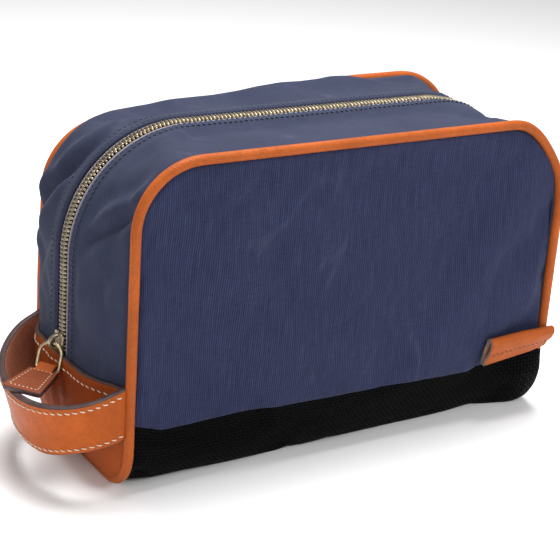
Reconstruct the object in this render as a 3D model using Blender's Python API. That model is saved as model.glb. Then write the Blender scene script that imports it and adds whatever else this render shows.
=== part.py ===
# Shaving kit bag: piped canvas wash bag with a wrap-round zipper, side handle and loop tab.
# X runs along the bag, the front faces -Y, the handle and the closed zipper slider are at -X.
import math

import bpy
import numpy as np

MM = 0.001
HALF_LENGTH = 124.6
HALF_DEPTH = 52.0
HEIGHT = 165.0
CORNER_LEFT = 32.0
CORNER_RIGHT = 36.0
BASE_ROUND = 21.0
PIPE_RADIUS = 2.5
SEAM_FLOOR = 2.5
EDGE_GAP = 2.9
CLOTH = 1.2
FRONT_SWELL = 3.0
NYLON_LEVEL = 34.0
NYLON_SLOPE = 2.0

ZIP_TOP = 168.0
ZIP_BULGE_LEFT = 12.0
ZIP_BULGE_RIGHT = 1.0
ZIP_CORNER_LEFT = 60.0
ZIP_FALL_START = 84.0
JOIN_LEFT = 100.0
JOIN_RIGHT = 66.0
BULGE_POWER = 2.2

LINING_NEAR = 2.5
LINING_FAR = 3.1
STRIP_LINING_INSET = 6.5
GUSSET_LINING_INNER = 10.0
GUSSET_INNER = 6.5
TAPE_INNER = 3.9
TAPE_OUTER = 13.0
TAPE_NEAR = 1.5
TAPE_FAR = 2.2
TEETH_INNER = 0.7
TEETH_OUTER = 3.6
TEETH_NEAR = 0.7
TEETH_FAR = 3.0
TEETH_FIRST = 6
STOP_GAP = 0.4
STOP_LENGTH = 4.0
STOP_OUTER = 0.5
STOP_INNER = 3.2
SEAM_HALF_GAP = 0.15

PATCH_TOP = 56.0
PATCH_INSET = 5.0
PATCH_GAP = 0.5
LEATHER = 1.8

STRAP_REACH = 39.4
STRAP_TILT = math.radians(15.8)
STRAP_LEVEL = 43.9
STRAP_WIDTH = 28.0
STRAP_SKEW = -11.0
ROOT_SLANT = 2.2
PLY_GAP = 0.15
STRAP_LINING = 1.4
LINING_START = 3.5
STRAP_HINGE = 1.5

SLIDER_LEVEL = 62.2
SLIDER_LENGTH = 11.0
SLIDER_HALF = 4.6
SLIDER_TAIL = 3.3
SLIDER_NOSE = 3.2
SHOULDER = 3.0
PLATE_OUTER = 0.75
PLATE_INNER = 0.35
UNDER_NEAR = 3.3
UNDER_FAR = 4.4
WEB_HALF = 0.38
CROWN_HALF_WIDTH = 1.0
CROWN_STAND = 2.9
CROWN_HALF_LENGTH = 4.8
EYE_DEEP = 1.75
EYE_TALL = 2.4
RING_YAW = math.radians(24.0)
RING_DROP = 13.1
RING_LEAN = math.radians(22.0)
RING_HALF = 8.7
RING_BEND = 1.4
RING_SHIFT = -1.2
EYE_STAND = 4.3
WIRE_RADIUS = 0.9
TAB_DROOP = math.radians(4.0)
TAB_LENGTH = 23.6
TAB_ROOT = 14.2
TAB_END = 19.6
TAB_HALF = 1.3
TAB_EYE = 2.55
TAB_BORE = 1.3
TAB_NECK = 3.2
TAB_ROUND = 0.6

LOOP_LEFT = 83.0
LOOP_RIGHT = 121.4
LOOP_BASE = 34.8
LOOP_STAND = 1.6
FOLD_CENTER = (-3.7, 12.0)
FOLD_OUTER = 2.5
FOLD_INNER = 1.1

ACROSS = (0.0, 1.0, 0.0)
UPRIGHT = (0.0, 0.0, 1.0)


def clear_scene():
    for item in list(bpy.data.objects):
        bpy.data.objects.remove(item, do_unlink=True)


def material(name, color, metallic, roughness):
    made = bpy.data.materials.new(name)
    made.use_nodes = True
    shader = made.node_tree.nodes["Principled BSDF"]
    shader.inputs["Base Color"].default_value = (color[0], color[1], color[2], 1.0)
    shader.inputs["Metallic"].default_value = metallic
    shader.inputs["Roughness"].default_value = roughness
    made.diffuse_color = (color[0], color[1], color[2], 1.0)
    return made


def finish_mesh(name, points, faces, look, origin=(0.0, 0.0, 0.0)):
    shift = np.array(origin)
    mesh = bpy.data.meshes.new(name)
    mesh.from_pydata([tuple((np.array(p) - shift) * MM) for p in points], [], faces)
    mesh.validate()
    mesh.update()
    item = bpy.data.objects.new(name, mesh)
    item.location = tuple(shift * MM)
    bpy.context.collection.objects.link(item)
    item.data.materials.append(material(name + "_look", look[0], look[1], look[2]))
    return item


def grid_normals(grid):
    along = np.gradient(grid, axis=0)
    across = np.gradient(grid, axis=1)
    normal = np.cross(along, across)
    return normal / np.linalg.norm(normal, axis=2, keepdims=True)


def skin(name, grid, low, high, look, flip=False, origin=(0.0, 0.0, 0.0)):
    """A closed sheet between two offsets of one grid of points."""
    grid = np.array(grid, dtype=float)
    normal = grid_normals(grid)
    if flip:
        normal = -normal
    rows, cols = grid.shape[:2]
    count = rows * cols
    points = np.concatenate([(grid + normal * high).reshape(-1, 3), (grid + normal * low).reshape(-1, 3)])
    faces = []
    for r in range(rows - 1):
        for c in range(cols - 1):
            quad = [r * cols + c, (r + 1) * cols + c, (r + 1) * cols + c + 1, r * cols + c + 1]
            faces.append(quad)
            faces.append([count + k for k in reversed(quad)])
    rim = [(0, c) for c in range(cols)]
    rim += [(r, cols - 1) for r in range(1, rows)]
    rim += [(rows - 1, c) for c in range(cols - 2, -1, -1)]
    rim += [(r, 0) for r in range(rows - 2, 0, -1)]
    for k, here in enumerate(rim):
        after = rim[(k + 1) % len(rim)]
        a = here[0] * cols + here[1]
        b = after[0] * cols + after[1]
        faces.append([a, b, count + b, count + a])
    if flip:
        faces = [list(reversed(face)) for face in faces]
    return finish_mesh(name, points, faces, look, origin)


def tube(name, path, radius, look, sides=8, closed=False, origin=(0.0, 0.0, 0.0)):
    """A round cord along a path, with flat ends unless the path is closed."""
    path = np.array(path, dtype=float)
    count = len(path)
    if closed:
        tangent = np.roll(path, -1, axis=0) - np.roll(path, 1, axis=0)
    else:
        tangent = np.gradient(path, axis=0)
    tangent /= np.linalg.norm(tangent, axis=1, keepdims=True)
    side = np.cross(tangent[0], (0.3, 0.5, 0.81))
    side /= np.linalg.norm(side)
    points = []
    for k in range(count):
        side = side - tangent[k] * np.dot(side, tangent[k])
        side /= np.linalg.norm(side)
        other = np.cross(tangent[k], side)
        for j in range(sides):
            turn = 2.0 * math.pi * j / sides
            points.append(path[k] + radius * (math.cos(turn) * side + math.sin(turn) * other))
    faces = []
    for k in range(count if closed else count - 1):
        after = (k + 1) % count
        for j in range(sides):
            beside = (j + 1) % sides
            faces.append([k * sides + j, k * sides + beside, after * sides + beside, after * sides + j])
    if not closed:
        faces.append([j for j in range(sides - 1, -1, -1)])
        faces.append([(count - 1) * sides + j for j in range(sides)])
    return finish_mesh(name, points, faces, look, origin)


def prism(name, outline, axis_a, axis_b, start, end, look, origin=(0.0, 0.0, 0.0)):
    """An outline in the plane of two axes, drawn from one point to another."""
    axis_a = np.array(axis_a, dtype=float)
    axis_b = np.array(axis_b, dtype=float)
    ring = [u * axis_a + v * axis_b for u, v in outline]
    count = len(ring)
    points = [np.array(start) + p for p in ring] + [np.array(end) + p for p in ring]
    faces = [list(range(count - 1, -1, -1)), list(range(count, 2 * count))]
    for k in range(count):
        after = (k + 1) % count
        faces.append([k, after, count + after, count + k])
    across = np.cross(axis_a, axis_b)
    if np.dot(across, np.array(end) - np.array(start)) < 0.0:
        faces = [list(reversed(face)) for face in faces]
    return finish_mesh(name, points, faces, look, origin)


def combine(target, tool, operation):
    """A boolean kept as a modifier, with its tool hidden."""
    step = target.modifiers.new(operation.lower(), "BOOLEAN")
    step.operation = operation
    step.solver = "EXACT"
    step.object = tool
    tool.hide_render = True
    tool.display_type = "WIRE"


def arc(center, radius_x, radius_z, start, end, count):
    turns = np.linspace(math.radians(start), math.radians(end), count)
    return [(center[0] + radius_x * math.cos(t), center[1] + radius_z * math.sin(t)) for t in turns]


def resample(line, count):
    line = np.array(line, dtype=float)
    step = np.linalg.norm(np.diff(line, axis=0), axis=1)
    travel = np.concatenate([[0.0], np.cumsum(step)])
    places = np.linspace(0.0, travel[-1], count)
    return np.stack([np.interp(places, travel, line[:, k]) for k in range(line.shape[1])], axis=1)


def end_bulge(level, amount):
    reach = np.clip((level - SEAM_FLOOR) / 40.0, 0.0, 1.0)
    return amount * (1.0 - (1.0 - reach) ** 2)


def seam_and_zip_rails():
    """Matching stations along the seam and along the zipper, each as (x, z)."""
    low = np.linspace(SEAM_FLOOR + EDGE_GAP, PATCH_TOP, 9)
    high = np.linspace(PATCH_TOP, JOIN_LEFT, 5)[1:]
    left = np.concatenate([low, high])
    seam_left = [(-HALF_LENGTH, z) for z in left]
    zip_left = [(-HALF_LENGTH - end_bulge(z, ZIP_BULGE_LEFT), z) for z in left]
    turn = (-HALF_LENGTH + CORNER_LEFT, HEIGHT - CORNER_LEFT)
    seam_a = [(-HALF_LENGTH, JOIN_LEFT)] + arc(turn, CORNER_LEFT, CORNER_LEFT, 180, 90, 20)
    zip_x = -HALF_LENGTH - ZIP_BULGE_LEFT
    turn = (zip_x + ZIP_CORNER_LEFT, ZIP_TOP - ZIP_CORNER_LEFT)
    zip_a = [(zip_x, JOIN_LEFT)] + arc(turn, ZIP_CORNER_LEFT, ZIP_CORNER_LEFT, 180, 90, 24)
    seam_b = [(-HALF_LENGTH + CORNER_LEFT, HEIGHT), (HALF_LENGTH - CORNER_RIGHT, HEIGHT)]
    zip_b = [(zip_x + ZIP_CORNER_LEFT, ZIP_TOP), (ZIP_FALL_START, ZIP_TOP)]
    turn = (HALF_LENGTH - CORNER_RIGHT, HEIGHT - CORNER_RIGHT)
    seam_c = arc(turn, CORNER_RIGHT, CORNER_RIGHT, 90, 0, 20) + [(HALF_LENGTH, JOIN_RIGHT)]
    fall = HALF_LENGTH + ZIP_BULGE_RIGHT - ZIP_FALL_START
    zip_c = arc((ZIP_FALL_START, JOIN_RIGHT), fall, ZIP_TOP - JOIN_RIGHT, 90, 0, 24)
    right = np.concatenate([[JOIN_RIGHT], low[::-1]])
    seam_right = [(HALF_LENGTH, z) for z in right]
    zip_right = [(HALF_LENGTH + end_bulge(z, ZIP_BULGE_RIGHT), z) for z in right]
    rails = []
    seam = (seam_left, seam_a, seam_b, seam_c, seam_right)
    middle = (zip_left, zip_a, zip_b, zip_c, zip_right)
    for lines in (seam, middle):
        corner_left = resample(lines[1], 15)[1:]
        top = resample(lines[2], 9)[1:]
        corner_right = resample(lines[3], 15)[1:-1]
        rails.append(np.concatenate([lines[0], corner_left, top, corner_right, lines[4]]))
    return rails


SEAM, ZIP = seam_and_zip_rails()


def gusset_limit(level, inset):
    """Half width of the gusset at a height, short of the seam by an inset."""
    above = level - SEAM_FLOOR
    if above >= BASE_ROUND:
        return HALF_DEPTH - inset
    reach = (BASE_ROUND - inset) ** 2 - (BASE_ROUND - above) ** 2
    return HALF_DEPTH - BASE_ROUND + math.sqrt(max(0.0, reach))


def gusset_point(seam, mid, y):
    lift = 1.0 - abs(y / HALF_DEPTH) ** BULGE_POWER
    x = seam[0] + (mid[0] - seam[0]) * lift
    z = seam[1] + (mid[1] - seam[1]) * lift
    return (x, y, z)


def gusset_grid(stations, inset, inner, sign, cols):
    """Rows across the gusset from the seam to an inner line, for chosen stations."""
    rows = []
    for k in stations:
        outer = gusset_limit(SEAM[k][1], inset)
        spread = np.linspace(0.0, 1.0, cols)
        rows.append([gusset_point(SEAM[k], ZIP[k], sign * (outer + (inner - outer) * s)) for s in spread])
    return rows


def base_rise(x):
    reach = np.clip((abs(x) - 85.0) / (HALF_LENGTH - 85.0), 0.0, 1.0)
    return SEAM_FLOOR * reach * reach * (3.0 - 2.0 * reach)


def swell(x, z):
    level = np.clip((z - 21.0) / (HEIGHT - 21.0), 0.0, 1.0)
    return FRONT_SWELL * (1.0 - (x / HALF_LENGTH) ** 4) * math.sin(math.pi * level)


def wall_point(x, z, sign):
    return (x, sign * (HALF_DEPTH + swell(x, z)), z)


def panel_columns(inset):
    turns = np.linspace(90.0, 0.0, 7)[:-1]
    left = [-(HALF_LENGTH - CORNER_LEFT) - (CORNER_LEFT - inset) * math.sin(math.radians(t)) for t in turns]
    right = [HALF_LENGTH - CORNER_RIGHT + (CORNER_RIGHT - inset) * math.sin(math.radians(t)) for t in turns]
    middle = np.linspace(-(HALF_LENGTH - CORNER_LEFT), HALF_LENGTH - CORNER_RIGHT, 11)
    return left + list(middle) + right[::-1]


def panel_top(x, inset):
    corner = CORNER_LEFT if x < 0.0 else CORNER_RIGHT
    beyond = abs(x) - (HALF_LENGTH - corner)
    if beyond <= 0.0:
        return HEIGHT - inset
    return HEIGHT - corner + math.sqrt(max(0.0, (corner - inset) ** 2 - beyond ** 2))


def nylon_level(x):
    return NYLON_LEVEL - NYLON_SLOPE * x / HALF_LENGTH


def canvas_grid(sign):
    rows = []
    for x in panel_columns(EDGE_GAP):
        low = nylon_level(x) + SEAM_HALF_GAP
        rows.append([wall_point(x, z, sign) for z in np.linspace(low, panel_top(x, EDGE_GAP), 13)])
    return rows


def underside(x):
    """The rounded base profile from the front wall to the back wall."""
    floor = base_rise(x)
    line = []
    for t in np.linspace(180.0, 270.0, 7):
        turn = math.radians(t)
        y = -HALF_DEPTH + BASE_ROUND + BASE_ROUND * math.cos(turn)
        line.append((x, y, floor + BASE_ROUND + BASE_ROUND * math.sin(turn)))
    inner = HALF_DEPTH - BASE_ROUND
    line += [(x, y, floor) for y in np.linspace(-inner, inner, 7)[1:-1]]
    line += [(x, -p[1], p[2]) for p in reversed(line[:7])]
    return line


def base_grid():
    columns = np.linspace(-HALF_LENGTH + EDGE_GAP, HALF_LENGTH - EDGE_GAP, 25)
    rows = []
    for x in columns:
        under = underside(x)
        top = nylon_level(x) - SEAM_HALF_GAP
        low = under[0][2]
        front = [wall_point(x, z, -1.0) for z in np.linspace(top, low, 4)[:-1]]
        back = [wall_point(x, z, 1.0) for z in np.linspace(low, top, 4)[1:]]
        rows.append(front + under + back)
    return rows


def lining_grid(inset):
    rows = []
    for x in panel_columns(inset):
        under = underside(x)
        low = under[0][2]
        top = panel_top(x, inset)
        front = [wall_point(x, z, -1.0) for z in np.linspace(top, low, 8)[:-1]]
        back = [wall_point(x, z, 1.0) for z in np.linspace(low, top, 8)[1:]]
        rows.append(front + under + back)
    return rows


def seam_path(sign):
    """Half of the piped seam, from the middle of one end's base to the other's."""
    side = []
    for t in np.linspace(270.0, 180.0, 8):
        turn = math.radians(t)
        y = HALF_DEPTH - BASE_ROUND - BASE_ROUND * math.cos(turn)
        side.append((y, SEAM_FLOOR + BASE_ROUND + BASE_ROUND * math.sin(turn)))
    side = [(SEAM_HALF_GAP, SEAM_FLOOR)] + side
    left = [(-HALF_LENGTH, sign * y, z) for y, z in side]
    left += [(-HALF_LENGTH, sign * HALF_DEPTH, z) for z in (60.0, 96.0)]
    turn = (-HALF_LENGTH + CORNER_LEFT, HEIGHT - CORNER_LEFT)
    left += [(x, sign * HALF_DEPTH, z) for x, z in arc(turn, CORNER_LEFT, CORNER_LEFT, 180, 90, 9)]
    turn = (HALF_LENGTH - CORNER_RIGHT, HEIGHT - CORNER_RIGHT)
    right = [(x, sign * HALF_DEPTH, z) for x, z in arc(turn, CORNER_RIGHT, CORNER_RIGHT, 90, 0, 9)]
    right += [(HALF_LENGTH, sign * HALF_DEPTH, z) for z in (96.0, 60.0)]
    right += [(HALF_LENGTH, sign * y, z) for y, z in reversed(side)]
    middle = [(x, sign * HALF_DEPTH, HEIGHT) for x in (-45.0, 0.0, 45.0)]
    return left + middle + right


def block(name, low, high, look):
    """A box between two corners."""
    low = np.array(low, dtype=float)
    high = np.array(high, dtype=float)
    size = (high - low) / 2.0
    middle = (high + low) / 2.0
    corners = ((-1.0, -1.0), (1.0, -1.0), (1.0, 1.0), (-1.0, 1.0))
    outline = [(u * size[0], v * size[1]) for u, v in corners]
    start = (middle[0], middle[1], low[2])
    end = (middle[0], middle[1], high[2])
    return prism(name, outline, (1.0, 0.0, 0.0), ACROSS, start, end, look)


def strap_grid(root_gap):
    """The handle's mid surface: rows round the loop, columns over its width."""
    cosine = math.cos(STRAP_TILT)
    sine = math.sin(STRAP_TILT)
    columns = []
    for over in np.linspace(-STRAP_WIDTH / 2.0, STRAP_WIDTH / 2.0, 5):
        clear = root_gap + ROOT_SLANT * (0.5 - over / STRAP_WIDTH)
        first = (clear - over * sine) / cosine
        limit = math.acos(first / STRAP_REACH)
        column = []
        for turn in np.linspace(-limit, limit, 41):
            out = STRAP_REACH * math.cos(turn)
            y = HALF_DEPTH * math.sin(turn) + STRAP_SKEW * max(0.0, out) / STRAP_REACH
            x = -HALF_LENGTH - out * cosine - over * sine
            column.append((x, y, STRAP_LEVEL - out * sine + over * cosine))
        columns.append(column)
    return np.transpose(np.array(columns), (1, 0, 2))


def zip_strip(first, last, near, far, low, high, sign, name, look):
    rows = []
    for k in range(first, last):
        rows.append([gusset_point(SEAM[k], ZIP[k], sign * y) for y in (far, near)])
    return skin(name, rows, low, high, look, flip=sign > 0.0)


NAVY = ((0.045, 0.065, 0.13), 0.0, 0.85)
BLACK = ((0.012, 0.012, 0.014), 0.0, 0.8)
TAN = ((0.52, 0.19, 0.06), 0.0, 0.5)
BROWN = ((0.16, 0.07, 0.045), 0.0, 0.6)
GREY = ((0.30, 0.29, 0.33), 0.0, 0.9)
BRASS = ((0.45, 0.35, 0.18), 1.0, 0.4)
LINING = ((0.20, 0.19, 0.18), 0.0, 0.85)

STATIONS = len(SEAM)
ZIP_PLANE = -HALF_LENGTH - ZIP_BULGE_LEFT
RING_PIVOT = np.array((ZIP_PLANE - EYE_STAND, 0.0, SLIDER_LEVEL))
RING_SIDE = np.array((math.sin(RING_YAW), -math.cos(RING_YAW), 0.0))
RING_OUT = np.array((-math.cos(RING_YAW), -math.sin(RING_YAW), 0.0))
RING_DOWN = RING_OUT * math.sin(RING_LEAN) - np.array(UPRIGHT) * math.cos(RING_LEAN)
RING_BAR = RING_PIVOT + RING_SIDE * RING_SHIFT + RING_DOWN * RING_DROP


def make_main_strip():
    skin("front_canvas_panel", canvas_grid(-1.0), -CLOTH, 0.0, NAVY)
    skin("back_canvas_panel", canvas_grid(1.0), -CLOTH, 0.0, NAVY, flip=True)
    skin("base_panel", base_grid(), -CLOTH, 0.0, BLACK, flip=True)
    skin("main_lining", lining_grid(STRIP_LINING_INSET), -LINING_FAR, -LINING_NEAR, LINING, flip=True)


def make_side(label, sign):
    """Gusset half, its lining, the zipper's tape and teeth, and the piping on one side."""
    upward = sign > 0.0
    cloth = gusset_grid(range(STATIONS), EDGE_GAP, GUSSET_INNER, sign, 9)
    skin("gusset_" + label, cloth, -CLOTH, 0.0, NAVY, flip=upward)
    lining = gusset_grid(range(STATIONS), EDGE_GAP, GUSSET_LINING_INNER, sign, 9)
    skin("gusset_lining_" + label, lining, -LINING_FAR, -LINING_NEAR, LINING, flip=upward)
    tape = "zipper_tape_" + label
    zip_strip(1, STATIONS - 1, TAPE_INNER, TAPE_OUTER, -TAPE_FAR, -TAPE_NEAR, sign, tape, GREY)
    teeth = "zipper_teeth_" + label
    last = STATIONS - TEETH_FIRST
    zip_strip(TEETH_FIRST, last, TEETH_INNER, TEETH_OUTER, -TEETH_FAR, -TEETH_NEAR, sign, teeth, BRASS)
    tube("piping_" + label, seam_path(sign), PIPE_RADIUS, TAN)


def make_patch(label, end, bulge):
    rows = []
    for level in np.linspace(SEAM_FLOOR + PATCH_INSET, PATCH_TOP, 10):
        outer = gusset_limit(level, PATCH_INSET)
        seam = (end * HALF_LENGTH, level)
        mid = (end * (HALF_LENGTH + end_bulge(level, bulge)), level)
        rows.append([gusset_point(seam, mid, -end * y) for y in np.linspace(-outer, outer, 25)])
    skin("end_patch_" + label, rows, PATCH_GAP, PATCH_GAP + LEATHER, TAN)


def make_stops():
    """Two stops below the closed slider and one bar at the zipper's far end."""
    top = SEAM[TEETH_FIRST][1] - STOP_GAP
    for label, sign in (("front", -1.0), ("back", 1.0)):
        ends = sorted((sign * 0.5, sign * TEETH_OUTER))
        low = (ZIP_PLANE + STOP_OUTER, ends[0], top - STOP_LENGTH)
        high = (ZIP_PLANE + STOP_INNER, ends[1], top)
        block("zipper_top_stop_" + label, low, high, BRASS)
    plane = HALF_LENGTH + ZIP_BULGE_RIGHT
    low = (plane - STOP_INNER, -3.4, top - STOP_LENGTH)
    high = (plane - STOP_OUTER, 3.4, top)
    block("zipper_bottom_stop", low, high, BRASS)


def across_slider(name, outline, half_width):
    """An outline in (x, z) about the zipper's plane, drawn across the slider."""
    start = (ZIP_PLANE - 0.1, -half_width, 0.0)
    end = (ZIP_PLANE - 0.1, half_width, 0.0)
    return prism(name, outline, (1.0, 0.0, 0.0), UPRIGHT, start, end, BRASS)


def make_slider():
    """Two plates joined by a web between the teeth, with a crown pierced for the ring."""
    low = SLIDER_LEVEL - SLIDER_LENGTH / 2.0
    high = SLIDER_LEVEL + SLIDER_LENGTH / 2.0
    half = [(SLIDER_TAIL, low), (SLIDER_HALF, high - SHOULDER), (SLIDER_NOSE, high)]
    outline = [(-SLIDER_TAIL, low)] + half + [(-y, z) for y, z in half[:0:-1]]
    plates = []
    depths = (("zipper_slider", PLATE_INNER, -PLATE_OUTER), ("slider_under", UNDER_FAR, UNDER_NEAR))
    origin = (ZIP_PLANE, 0.0, SLIDER_LEVEL)
    for name, first, last in depths:
        start = (ZIP_PLANE + first, 0.0, 0.0)
        end = (ZIP_PLANE + last, 0.0, 0.0)
        plates.append(prism(name, outline, ACROSS, UPRIGHT, start, end, BRASS, origin))
    slider, under = plates
    web_low = (ZIP_PLANE - 0.3, -WEB_HALF, high - SLIDER_LENGTH / 2.0)
    web_high = (ZIP_PLANE + UNDER_NEAR + 0.5, WEB_HALF, high - 1.5)
    web = block("slider_web", web_low, web_high, BRASS)
    crown_outline = arc((0.0, SLIDER_LEVEL), EYE_STAND + CROWN_STAND, CROWN_HALF_LENGTH, 90, 270, 15)
    crown = across_slider("slider_crown", crown_outline, CROWN_HALF_WIDTH)
    eye_outline = arc((0.1 - EYE_STAND, SLIDER_LEVEL), EYE_DEEP, EYE_TALL, 0, 345, 24)
    eye = across_slider("slider_eye", eye_outline, 2.0 * CROWN_HALF_WIDTH)
    for tool in (under, web, crown):
        combine(slider, tool, "UNION")
    combine(slider, eye, "DIFFERENCE")


def make_ring():
    """A rounded rectangle of wire from the slider's crown down to the tab's eye."""
    low = RING_BEND
    high = RING_DROP - RING_BEND
    wide = RING_HALF - RING_BEND
    loop = []
    for u, v, start in ((wide, high, 0.0), (-wide, high, 90.0), (-wide, low, 180.0), (wide, low, 270.0)):
        for t in np.linspace(start, start + 90.0, 5):
            along = RING_SHIFT + u + RING_BEND * math.cos(math.radians(t))
            drop = v + RING_BEND * math.sin(math.radians(t))
            loop.append(RING_PIVOT + RING_SIDE * along + RING_DOWN * drop)
    tube("pull_ring", loop, WIRE_RADIUS, BRASS, closed=True, origin=tuple(RING_PIVOT))


def make_tab():
    """A flared leather tab with a thicker rolled end, bored for the ring."""
    out = RING_OUT * math.cos(TAB_DROOP) - np.array(UPRIGHT) * math.sin(TAB_DROOP)
    up = np.cross(out, RING_SIDE)
    profile = arc((0.0, 0.0), TAB_EYE, TAB_EYE, 90, 270, 9)
    under = [(TAB_NECK, TAB_HALF), (TAB_LENGTH - TAB_ROUND, TAB_HALF), (TAB_LENGTH, TAB_HALF - TAB_ROUND)]
    profile += [(u, -v) for u, v in under] + under[::-1]
    points = []
    for edge in (-0.5, 0.5):
        for u, v in profile:
            width = TAB_ROOT + (TAB_END - TAB_ROOT) * max(0.0, u) / TAB_LENGTH
            points.append(RING_BAR + out * u + up * v + RING_SIDE * width * edge)
    count = len(profile)
    faces = [list(range(count)), list(range(2 * count - 1, count - 1, -1))]
    for k in range(count):
        after = (k + 1) % count
        faces.append([count + k, count + after, after, k])
    tab = finish_mesh("pull_tab", points, faces, TAN, tuple(RING_BAR))
    reach = RING_SIDE * TAB_END
    bore_outline = arc((0.0, 0.0), TAB_BORE, TAB_BORE, 0, 345, 24)
    bore = prism("pull_tab_bore", bore_outline, out, up, RING_BAR - reach, RING_BAR + reach, BRASS)
    combine(tab, bore, "DIFFERENCE")


def make_handle():
    origin = (-HALF_LENGTH - STRAP_HINGE, 0.0, STRAP_LEVEL)
    outer = strap_grid(EDGE_GAP)
    skin("handle_outer", outer, PLY_GAP, PLY_GAP + LEATHER, TAN, flip=True, origin=origin)
    inner = strap_grid(EDGE_GAP + LINING_START)
    skin("handle_lining", inner, -PLY_GAP - STRAP_LINING, -PLY_GAP, BROWN, flip=True, origin=origin)


def loop_ring(near, far, radius):
    """One side of the folded strap's section, in (y, z): up from its foot, over the fold and down."""
    return near + arc(FOLD_CENTER, radius, radius, 30, 150, 5) + far[::-1]


def make_loop_tab():
    """A strap folded over on itself along the bag, open at both ends."""
    hinge = (0.0, -HALF_DEPTH - LOOP_STAND, LOOP_BASE)
    near = [(0.0, 0.0), (0.0, 4.0), (-1.2, 12.0)]
    far = [(-3.0, 0.0), (-3.6, 4.0), (-6.2, 12.0)]
    outer = loop_ring(near, far, FOLD_OUTER)
    near = [(-1.4, 2.6), (-1.5, 4.6), (-2.6, 11.8)]
    far = [(-1.7, 2.6), (-2.2, 4.6), (-4.8, 11.8)]
    inner = loop_ring(near, far, FOLD_INNER)
    count = len(outer)
    points = []
    for x in (LOOP_LEFT, LOOP_RIGHT):
        for ring in (outer, inner):
            points += [(x, hinge[1] + y, hinge[2] + z) for y, z in ring]
    faces = []
    for k in range(count):
        after = (k + 1) % count
        faces.append([k, after, 2 * count + after, 2 * count + k])
        faces.append([count + after, count + k, 3 * count + k, 3 * count + after])
        faces.append([k, count + k, count + after, after])
        faces.append([2 * count + k, 2 * count + after, 3 * count + after, 3 * count + k])
    finish_mesh("front_loop_tab", points, faces, TAN, hinge)


clear_scene()
make_main_strip()
make_side("front", -1.0)
make_side("back", 1.0)
make_patch("left", -1.0, ZIP_BULGE_LEFT)
make_patch("right", 1.0, ZIP_BULGE_RIGHT)
make_stops()
make_slider()
make_ring()
make_tab()
make_handle()
make_loop_tab()
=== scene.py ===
"""Looks for the shaving kit bag: cloth, leather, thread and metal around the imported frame."""
import math

import bmesh
import bpy
import numpy as np
from mathutils import Matrix, Vector, noise


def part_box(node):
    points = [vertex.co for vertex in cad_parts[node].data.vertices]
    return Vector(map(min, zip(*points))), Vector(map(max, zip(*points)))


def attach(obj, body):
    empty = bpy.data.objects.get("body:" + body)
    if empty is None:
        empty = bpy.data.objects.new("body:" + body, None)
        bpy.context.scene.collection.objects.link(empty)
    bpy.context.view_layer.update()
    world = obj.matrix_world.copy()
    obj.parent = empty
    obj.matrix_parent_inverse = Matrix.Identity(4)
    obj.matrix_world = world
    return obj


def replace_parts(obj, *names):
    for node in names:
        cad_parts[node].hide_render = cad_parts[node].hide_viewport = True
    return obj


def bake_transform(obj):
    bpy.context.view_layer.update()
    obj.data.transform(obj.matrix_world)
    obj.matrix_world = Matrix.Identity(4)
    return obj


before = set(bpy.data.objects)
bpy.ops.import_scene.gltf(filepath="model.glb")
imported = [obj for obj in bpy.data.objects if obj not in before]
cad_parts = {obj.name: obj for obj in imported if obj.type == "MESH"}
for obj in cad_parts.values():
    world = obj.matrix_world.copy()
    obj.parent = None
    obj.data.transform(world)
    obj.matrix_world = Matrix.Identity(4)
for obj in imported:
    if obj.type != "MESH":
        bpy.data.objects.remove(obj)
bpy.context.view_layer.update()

# ---------------------------------------------------------------- sizes in millimetres, angles in radians
MM = 0.001
PIPE = 2.5
pipe_low, pipe_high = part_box("piping_front")
HALF_LENGTH = pipe_high[0] / MM - PIPE
HALF_DEPTH = -pipe_low[1] / MM - PIPE
HEIGHT = pipe_high[2] / MM - PIPE
SEAM_FLOOR = 2.5
REST_LEVEL = 0.3
CORNER_LEFT = 32.0
CORNER_RIGHT = 36.0
BASE_ROUND = 21.0
TUCK = 1.0
SEAM_DIP = 2.3
SEAM_DIP_WIDTH = 2.2
PUFF_WIDTH = 6.5
CORNER_SWELL = 5.6
CORNER_SWELL_WIDTH = 5.5
CORNER_DRAW = 5.5

ZIP_TOP = HEIGHT + 3.0
BULGE_LEFT = 12.0
BULGE_RIGHT = 1.0
ZIP_CORNER = 60.0
ZIP_FALL = 84.0
JOIN_LEFT = 100.0
JOIN_RIGHT = 66.0
BULGE_POWER = 2.2
FRONT_SWELL = 3.0
FAR_EDGE_DROP = 9.5
FAR_EDGE_LEAN = 2.0
FAR_END_DROP = 5.0
CORNER_SINK = (4.6, 2.6)
FOOT_TUCK = (1.0, 4.5)

CANVAS_ROWS = 56
NYLON_ROWS = 12
CANVAS_THICK = 1.2
GUSSET_STATIONS = 230
NYLON_THICK = 1.5
LINING_THICK = 0.5
STRIP_LINING_DEPTH = 3.9
GUSSET_LINING_DEPTH = 3.6
NYLON_LEVEL = 34.0
NYLON_SLOPE = 2.0
PATCH_TOP = 56.5
PATCH_THICK = 2.3
PATCH_EDGE = 1.25
FOLD_EDGE = {-1.0: 7.0, 1.0: 4.9}
FOLD_END = 13.2
# distance from the zipper's middle and depth below its line
TAPE_PROFILE = ((10.0, 1.9), (4.4, 1.15), (2.6, 1.5))
# distance from the middle, half width and half height of a tooth along its length
TOOTH_SECTIONS = ((-1.1, 0.26, 0.55), (-0.6, 0.44, 0.95), (0.5, 0.42, 1.10), (2.9, 0.62, 1.20),
                  (3.4, 0.5, 0.9))
TOOTH_PITCH = 1.05
ZIP_END_GAP = 48.0
# distance from the middle, depth and radius of the cord along each tape's edge
TAPE_CORD = (3.9, 0.75, 0.55)

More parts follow.
